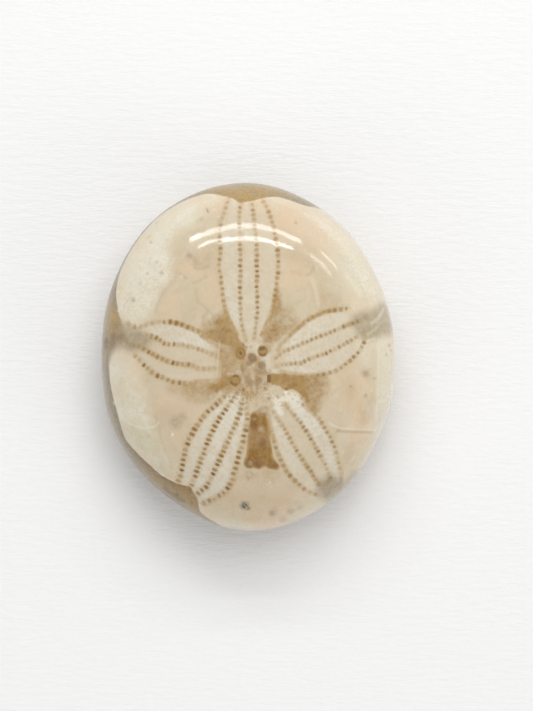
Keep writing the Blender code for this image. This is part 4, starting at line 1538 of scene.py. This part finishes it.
def layTints(tree, tone, place):
    # pinkish, olive and deeper tan clouds, whose strength wanders
    pink, olive, deep = splitField(tree, "tints")
    cloud = noiseAt(tree, place, 1.3, 4.0, 0.62, 0.5)
    grain = noiseAt(tree, place, 0.3, 3.0, 0.6)
    patchy = remap(tree, calc(tree, "MULTIPLY_ADD", grain, 0.5, cloud), 0.55, 0.95, 0.35, 1.1)
    veil = remap(tree, noiseAt(tree, place, 0.9, 5.0, 0.68, 0.4), 0.34, 0.66, 0.35, 1.05)
    cool = calc(tree, "MULTIPLY", readField(tree, "cool"), veil)
    tone = mixColour(tree, cool, tone, finish["marginCream"])
    flecks = remap(tree, noiseAt(tree, place, 0.4, 5.0, 0.72, 0.4), 0.5, 0.7, 0.0, 0.3)
    tone = mixColour(tree, calc(tree, "MULTIPLY", readField(tree, "cool"), flecks), tone, finish["deepTan"])
    for amount, tint in ((pink, "pinkTint"), (olive, "oliveTint"), (deep, "deepTan")):
        tone = mixColour(tree, calc(tree, "MULTIPLY", amount, patchy), tone, finish[tint])
    crumbs = noiseAt(tree, place, 0.2, 3.0, 0.6)
    pale = calc(tree, "MULTIPLY_ADD", calc(tree, "SUBTRACT", crumbs, 0.5), 2.2, readField(tree, "pale"))
    pale = calc(tree, "MULTIPLY", remap(tree, pale, 0.35, 0.75), readField(tree, "pale"))
    return mixColour(tree, calc(tree, "MULTIPLY", pale, 0.9), tone, finish["paleCream"])


def layPetalColour(tree, tone, place):
    phase, share, mask = splitField(tree, "strip")
    jitter = calc(tree, "MULTIPLY", noiseAt(tree, place, 0.5, 1.0), 0.5)
    wave = calc(tree, "PINGPONG", calc(tree, "ADD", phase, jitter), 0.5)
    stripe = remap(tree, wave, 0.3, 0.04)
    patch = remap(tree, noiseAt(tree, place, 0.55, 4.0, 0.7), 0.35, 0.62, 0.3, 1.05)
    tone = mixColour(tree, calc(tree, "MULTIPLY", mask, patch), tone, finish["petalWhite"])
    stripe = calc(tree, "MULTIPLY", calc(tree, "MULTIPLY", stripe, mask), 0.13)
    return mixColour(tree, stripe, tone, finish["petalLine"])


def layStainColour(tree, tone, place):
    stain = readField(tree, "stain")
    mottle = noiseAt(tree, place, 0.5, 4.0, 0.7)
    blotch = noiseAt(tree, place, 1.5, 3.0, 0.6)
    ragged = calc(tree, "MULTIPLY_ADD", calc(tree, "SUBTRACT", mottle, 0.5), 0.7, stain)
    ragged = calc(tree, "MULTIPLY", remap(tree, ragged, -0.12, 0.85), remap(tree, stain, 0.0, 0.1))
    body = remap(tree, blotch, 0.3, 0.7, 0.85, 1.1)
    amount = calc(tree, "MULTIPLY", ragged, body)
    inMottle = remap(tree, mottle, 0.42, 0.7, 0.0, 0.6)
    deeper = calc(tree, "ADD", inMottle, remap(tree, stain, 0.95, 1.0, 0.0, 0.5))
    brown = mixColour(tree, deeper, finish["stainBrown"], finish["stainDeep"])
    tone = mixColour(tree, amount, tone, brown)
    smeared = remap(tree, noiseAt(tree, place, 0.3, 2.0, 0.6), 0.3, 0.6, 0.45, 1.0)
    smeared = calc(tree, "MULTIPLY", readField(tree, "smear"), smeared)
    tone = mixColour(tree, calc(tree,
                                "MULTIPLY", smeared, finish["smearStrength"]), tone, finish["smearBrown"])
    speck = remap(tree, noiseAt(tree, place, 0.17, 1.0), 0.58, 0.68)
    speck = calc(tree, "MULTIPLY", speck, readField(tree, "stipple"))
    return mixColour(tree, calc(tree, "MULTIPLY", speck, 0.75), tone, finish["poreBrown"])


def layPoreColour(tree, tone, place, fieldName):
    dots = useGroup(tree, poreDots, {"Row": readField(tree, fieldName), "Place": place})
    shade = remap(tree, dots["Shade"], 0.4, 1.0, 0.0, 0.75)
    brown = mixColour(tree, shade, finish["poreBrown"], finish["poreDark"])
    paler = calc(tree, "MULTIPLY", calc(tree, "LESS_THAN", dots["Shade"], 0.25), 0.3)
    hollow = calc(tree, "MULTIPLY", calc(tree, "SUBTRACT", dots["Dot"], dots["Rim"]), paler)
    depth = remap(tree, dots["Shade"], 0.0, 0.8, 0.6, 0.95)
    amount = calc(tree, "MULTIPLY", calc(tree, "SUBTRACT", dots["Dot"], hollow), depth)
    return mixColour(tree, amount, tone, brown), dots["Dot"]


def layFlankColour(tree, tone, place):
    # sutures between plates below the rim
    height, side, mask = splitField(tree, "flank")
    wobble = calc(tree, "MULTIPLY", noiseAt(tree, place, 2.0, 2.0), 0.5)
    apart = calc(tree, "ABSOLUTE", side)
    shift = calc(tree, "MULTIPLY", calc(tree, "GREATER_THAN", side, 0.0), 0.5)
    wave = calc(tree, "PINGPONG", calc(tree, "ADD", calc(tree, "ADD", height, wobble), shift), 0.5)
    suture = remap(tree, wave, 0.035, 0.01)
    outside = remap(tree, apart, 0.7, 0.9)
    suture = calc(tree, "MULTIPLY", calc(tree, "MULTIPLY", suture, outside), mask)
    return mixColour(tree, calc(tree,
                                "MULTIPLY", suture, finish["sutureStrength"]), tone, finish["plateBrown"])


def layWornColour(tree, tone, place):
    upper, lower, tan = splitField(tree, "worn")
    edges = {"Place": place, "Wander": 0.35, "Softness": readField(tree, "wornSoft")}
    fromTop = useGroup(tree, raggedEdge, {"Distance": upper, **edges})["Mask"]
    edges = {"Place": place, "Wander": 1.6, "Softness": 0.25}
    fromBelow = useGroup(tree, raggedEdge, {"Distance": lower, **edges})["Mask"]
    band = calc(tree, "MULTIPLY", fromTop, fromBelow)
    cloud = noiseAt(tree, place, 0.8, 4.0, 0.65)
    streak = noiseAt(tree, place, 0.25, 3.0, 0.6)
    tan = calc(tree, "MULTIPLY", tan, remap(tree, cloud, 0.25, 0.6, 0.4, 1.0))
    deep = calc(tree, "MULTIPLY_ADD", cloud, 3.0, upper)
    tan = calc(tree, "MULTIPLY", tan, remap(tree, deep, 6.0, 2.5))
    filling = mixColour(tree, tan, finish["wornGrey"], finish["wornTan"])
    greyEnd = calc(tree, "MULTIPLY", readField(tree, "grey"), calc(tree, "MULTIPLY_ADD", tan, -0.8, 0.8))
    filling = mixColour(tree, greyEnd, filling, finish["greyStone"])
    # dark streaks just under the shell's edge: part real streaks, part a painted shadow of the shell's edge,
    # strongest on the lower left
    dark = calc(tree, "MULTIPLY", readField(tree, "wornDarkAndShadow"), remap(tree, streak, 0.3, 0.65, 0.25, 1.0))
    outer = remap(tree, calc(tree, "MULTIPLY_ADD", cloud, 1.6, upper), 1.0, 3.0, 0.0, 0.6)
    outer = calc(tree, "MULTIPLY", outer, calc(tree, "MULTIPLY_ADD", tan, -0.8, 1.0))
    filling = mixColour(tree, outer, filling, finish["wornPale"])
    below = remap(tree, upper, 2.4, 4.4)  # patches, pits and pale flecks low on the flank
    patches = remap(tree, noiseAt(tree, place, 2.2, 5.0, 0.6, 0.8), 0.42, 0.64, 0.0, 0.42)
    filling = mixColour(tree, calc(tree, "MULTIPLY", below, patches), filling, finish["wornDarkAndShadow"])
    flecks = remap(tree, noiseAt(tree, place, 0.55, 4.0, 0.7, 0.3), 0.55, 0.68, 0.0, 0.55)
    filling = mixColour(tree, calc(tree, "MULTIPLY", below, flecks), filling, finish["coolCream"])
    pitting = remap(tree, noiseAt(tree, place, 0.22, 2.0, 0.5), 0.66, 0.74, 0.0, 0.7)
    filling = mixColour(tree, calc(tree, "MULTIPLY", below, pitting), filling, finish["slotDark"])
    # the painted shadow is strongest right under the shell's edge and fades away from it
    shadowUnderShellEdge = remap(tree, calc(tree, "MULTIPLY_ADD", streak, 1.0, upper), 1.5, 0.4, 0.45, 1.0)
    dark = calc(tree, "MULTIPLY", dark, shadowUnderShellEdge)
    filling = mixColour(tree, calc(tree, "MULTIPLY", dark, 0.85), filling, finish["wornDarkAndShadow"])
    grain = remap(tree, noiseAt(tree, place, 0.14, 2.0, 0.6), 0.3, 0.7, 0.82, 1.1)
    grey = addNode(tree, "ShaderNodeCombineColor", {0: grain, 1: grain, 2: grain}).outputs[0]
    filling = mixColour(tree, 1.0, filling, grey, "MULTIPLY")
    return mixColour(tree, band, tone, filling), band


def makeShellMaterial():
    material = bpy.data.materials.new("polishedCalcite")
    material.use_nodes = True
    tree = material.node_tree
    shader = tree.nodes["Principled BSDF"]
    coordinates = addNode(tree, "ShaderNodeTexCoord")
    scaled = addNode(tree, "ShaderNodeVectorMath", {0: coordinates.outputs["Object"]}, operation="SCALE")
    scaled.inputs["Scale"].default_value = 1 / mm
    place = scaled.outputs["Vector"]

    tone = creamTone(tree, place)
    middle = readField(tree, "middle")
    tone = mixColour(tree, calc(tree,
                                "MULTIPLY", middle, finish["middleStrength"]), tone, finish["middleTan"])
    shades = remap(tree, noiseAt(tree, place, 1.1, 6.0, 0.72, 0.6), 0.42, 0.66, 0.0, 0.35)
    tone = mixColour(tree, calc(tree, "MULTIPLY", middle, shades), tone, finish["deepTan"])
    glints = remap(tree, noiseAt(tree, place, 0.7, 5.0, 0.7, 0.3), 0.5, 0.72, 0.0, 0.4)
    tone = mixColour(tree, calc(tree, "MULTIPLY", middle, glints), tone, finish["cream"])
    tone = layTints(tree, tone, place)
    tone = layFlankColour(tree, tone, place)
    tone = layPetalColour(tree, tone, place)
    tone = layStainColour(tree, tone, place)
    greyCloud = remap(tree, noiseAt(tree, place, 0.5, 4.0, 0.65), 0.3, 0.65, 0.72, 1.0)
    grey = calc(tree, "MULTIPLY", readField(tree, "grey"), greyCloud)
    tone = mixColour(tree, calc(tree, "MULTIPLY", grey, finish["greyStrength"]), tone, finish["greyStone"])
    mottle = noiseAt(tree, place, 0.3, 3.0, 0.6)
    plateCloud = remap(tree, mottle, 0.3, 0.65, 0.75, 1.1)
    plates = calc(tree, "MULTIPLY", readField(tree, "plates"), plateCloud)
    seams = calc(tree, "MULTIPLY", readField(tree, "seams"), remap(tree, mottle, 0.35, 0.6, 0.1, 0.6))
    tone = mixColour(tree, seams, tone, finish["petalWhite"])
    tone = mixColour(tree, plates, tone, finish["plateBrown"])
    tone, evenDots = layPoreColour(tree, tone, place, "poresEven")
    tone, oddDots = layPoreColour(tree, tone, place, "poresOdd")
    darkOpening, edges, fills = splitField(tree, "openings")
    tone = mixColour(tree, fills, tone, finish["openingGold"])
    tone = mixColour(tree, edges, tone, finish["stainDeep"])
    tone = mixColour(tree, darkOpening, tone, finish["slotDark"])
    tone, band = layWornColour(tree, tone, place)
    dark, greyMark, paleMark = splitField(tree, "marks")
    tone = mixColour(tree, calc(tree, "MULTIPLY", paleMark, finish["paleStrength"]), tone, finish["paleMark"])
    ragged = remap(tree, noiseAt(tree, place, 0.2, 2.0), 0.3, 0.55, 0.3, 1.0)
    tone = mixColour(tree, calc(tree, "MULTIPLY", greyMark, ragged), tone, finish["greyMark"])
    tone = mixColour(tree, calc(tree, "MULTIPLY", dark, 0.8), tone, finish["darkMark"])
    # the mouth and vent hollows are painted darker, unevenly, in the deep stain brown
    hollowDarkening = remap(tree, noiseAt(tree, place, 0.6, 3.0), 0.3, 0.7, 0.35, 0.9)
    tone = mixColour(tree, calc(tree, "MULTIPLY", readField(tree, "cavity"), hollowDarkening), tone, finish["stainDeep"])
    connect(tree, tone, shader.inputs["Base Color"])

    smudge = noiseAt(tree, place, 2.2, 3.0, 0.6)
    polish = remap(tree, smudge, 0.35, 0.75, finish["polish"] - 0.02, finish["polish"] + 0.06)
    gloss = calc(tree, "MULTIPLY_ADD", band, finish["wornPolish"] - finish["polish"], polish)
    dots = calc(tree, "MAXIMUM", evenDots, oddDots)
    gloss = calc(tree, "MULTIPLY_ADD", dots, 0.06, gloss)
    gloss = calc(tree, "MULTIPLY_ADD", readField(tree, "cavity"), 0.3, gloss)
    connect(tree, gloss, shader.inputs["Roughness"])

    scratches = noiseAt(tree, place, 0.35, 4.0, 0.6)
    pits = noiseAt(tree, place, 0.09, 2.0, 0.5)
    rough = calc(tree, "MULTIPLY", band, pits)
    height = calc(tree, "ADD", calc(tree, "MULTIPLY", scratches, 0.25), calc(tree, "MULTIPLY", rough, 1.0))
    height = calc(tree, "MULTIPLY_ADD", dots, -0.5, height)
    bump = addNode(tree, "ShaderNodeBump", {"Height": height, "Strength": 0.35, "Distance": 0.01 * mm})
    connect(tree, bump.outputs["Normal"], shader.inputs["Normal"])
    shader.inputs["IOR"].default_value = finish["ior"]
    shader.inputs["Coat Weight"].default_value = finish["coat"]
    shader.inputs["Coat Roughness"].default_value = finish["coatRoughness"]
    return material


urchin.data.materials.append(makeShellMaterial())
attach(urchin, "root")
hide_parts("urchin")
print("polished calcite finished")


# table, lights and camera
studio = {
    "tableSize": 2400,
    "tableGap": 0.01,
    "tableColour": paint(244, 244, 243),
    "paperBump": 0.75,
    "fibreHeight": 0.12,
    "cameraPlan": (1.57, 0.09),
    "cameraHeight": 240.0,  # above the stone's rim
    "frameSpan": 61.29,  # long side of the picture at the rim's height
    "skyStrength": 0.52,
    "skyColour": (0.98, 0.98, 0.99, 1.0),
}
# a light's direction from the stone is azimuth and elevation, and its size width by height
# a soft window lights the stone but isn't seen in its polish
softWindow = {"distance": 600, "size": (360, 360), "shines": False}
streak = {"distance": 330, "radiance": 3.0}
lights = {
    "lowStrip": {"distance": 330, "azimuth": 90.6, "elevation": 40.2, "size": (318, 25), "radiance": 5.0},
    "highStrip": {"distance": 330, "azimuth": 90, "elevation": 49.6, "size": (251, 14), "radiance": 9.0},
    "haze": {"distance": 345, "azimuth": 90, "elevation": 45, "size": (330, 44), "radiance": 0.4},
    "rightWindow": {**softWindow, "azimuth": 60, "elevation": 65, "radiance": 1.55},
    "topWindow": {**softWindow, "azimuth": 90, "elevation": 50, "radiance": 0.75},
    "lowFill": {**softWindow, "azimuth": 325, "elevation": 20, "radiance": 1.1},
    "leftFill": {**softWindow, "azimuth": 222, "elevation": 22, "radiance": 0.8},
    "stripEnd": {"distance": 330, "azimuth": 120, "elevation": 36.5, "size": (24, 36), "radiance": 3.5},
    "upperStreak": {**streak, "azimuth": 42, "elevation": 27.9, "size": (60, 14), "roll": 21},
    "lowerStreak": {**streak, "azimuth": 45, "elevation": 38.9, "size": (72, 16), "roll": 19},
}


def makeTable():
    half = studio["tableSize"] / 2 * mm
    mesh = bpy.data.meshes.new("table")
    corners = [(-half, -half, 0), (half, -half, 0), (half, half, 0), (-half, half, 0)]
    mesh.from_pydata(corners, [], [(0, 1, 2, 3)])
    table = bpy.data.objects.new("table", mesh)
    table.location.z = -studio["tableGap"] * mm
    bpy.context.scene.collection.objects.link(table)
    material = bpy.data.materials.new("palePaper")
    material.use_nodes = True
    tree = material.node_tree
    shader = tree.nodes["Principled BSDF"]
    shader.inputs["Base Color"].default_value = studio["tableColour"]
    shader.inputs["Roughness"].default_value = 0.9
    shader.inputs["Specular IOR Level"].default_value = 0.2
    coordinates = addNode(tree, "ShaderNodeTexCoord")
    stretched = addNode(tree, "ShaderNodeMapping", {"Vector": coordinates.outputs["Object"]})
    stretched.inputs["Scale"].default_value = (0.22 / mm, 1 / mm, 1 / mm)
    fibres = noiseAt(tree, stretched.outputs["Vector"], 0.4, 4.0, 0.65)
    inputs = {"Height": fibres, "Strength": studio["paperBump"], "Distance": studio["fibreHeight"] * mm}
    bump = addNode(tree, "ShaderNodeBump", inputs)
    connect(tree, bump.outputs["Normal"], shader.inputs["Normal"])
    mesh.materials.append(material)
    return table


def makeLights():
    target = Vector((0, 0, dome["rimHeight"] * mm))
    for name, light in lights.items():
        data = bpy.data.lights.new(name, "AREA")
        data.shape = "RECTANGLE"
        data.size, data.size_y = (side * mm for side in light["size"])
        # an area light's radiance is power / (4 x area) for one side
        area = data.size * data.size_y
        data.energy = light["radiance"] * area * 4
        lamp = bpy.data.objects.new(name, data)
        turn, lift = math.radians(light["azimuth"]), math.radians(light["elevation"])
        towards = Vector((math.cos(turn) * math.cos(lift), math.sin(turn) * math.cos(lift), math.sin(lift)))
        lamp.location = target + towards * light["distance"] * mm
        facing = towards.to_track_quat("Z", "Y") @ Quaternion((0, 0, 1), math.radians(light.get("roll", 0)))
        lamp.rotation_euler = facing.to_euler()
        lamp.visible_camera = False
        lamp.visible_glossy = light.get("shines", True)
        bpy.context.scene.collection.objects.link(lamp)
    world = bpy.data.worlds.new("softRoom")
    world.use_nodes = True
    background = world.node_tree.nodes["Background"]
    background.inputs["Color"].default_value = studio["skyColour"]
    background.inputs["Strength"].default_value = studio["skyStrength"]
    bpy.context.scene.world = world


def makeCamera():
    data = bpy.data.cameras.new("camera")
    data.sensor_width = 36
    data.lens = data.sensor_width * studio["cameraHeight"] / studio["frameSpan"]
    data.clip_start = 0.01
    data.clip_end = 10
    camera = bpy.data.objects.new("camera", data)
    x, y = studio["cameraPlan"]
    camera.location = Vector((x, y, studio["cameraHeight"] + dome["rimHeight"])) * mm
    bpy.context.scene.collection.objects.link(camera)
    bpy.context.scene.camera = camera


makeTable()
makeLights()
makeCamera()
bpy.context.scene.view_settings.view_transform = "Standard"
print("table, lights and camera ready")
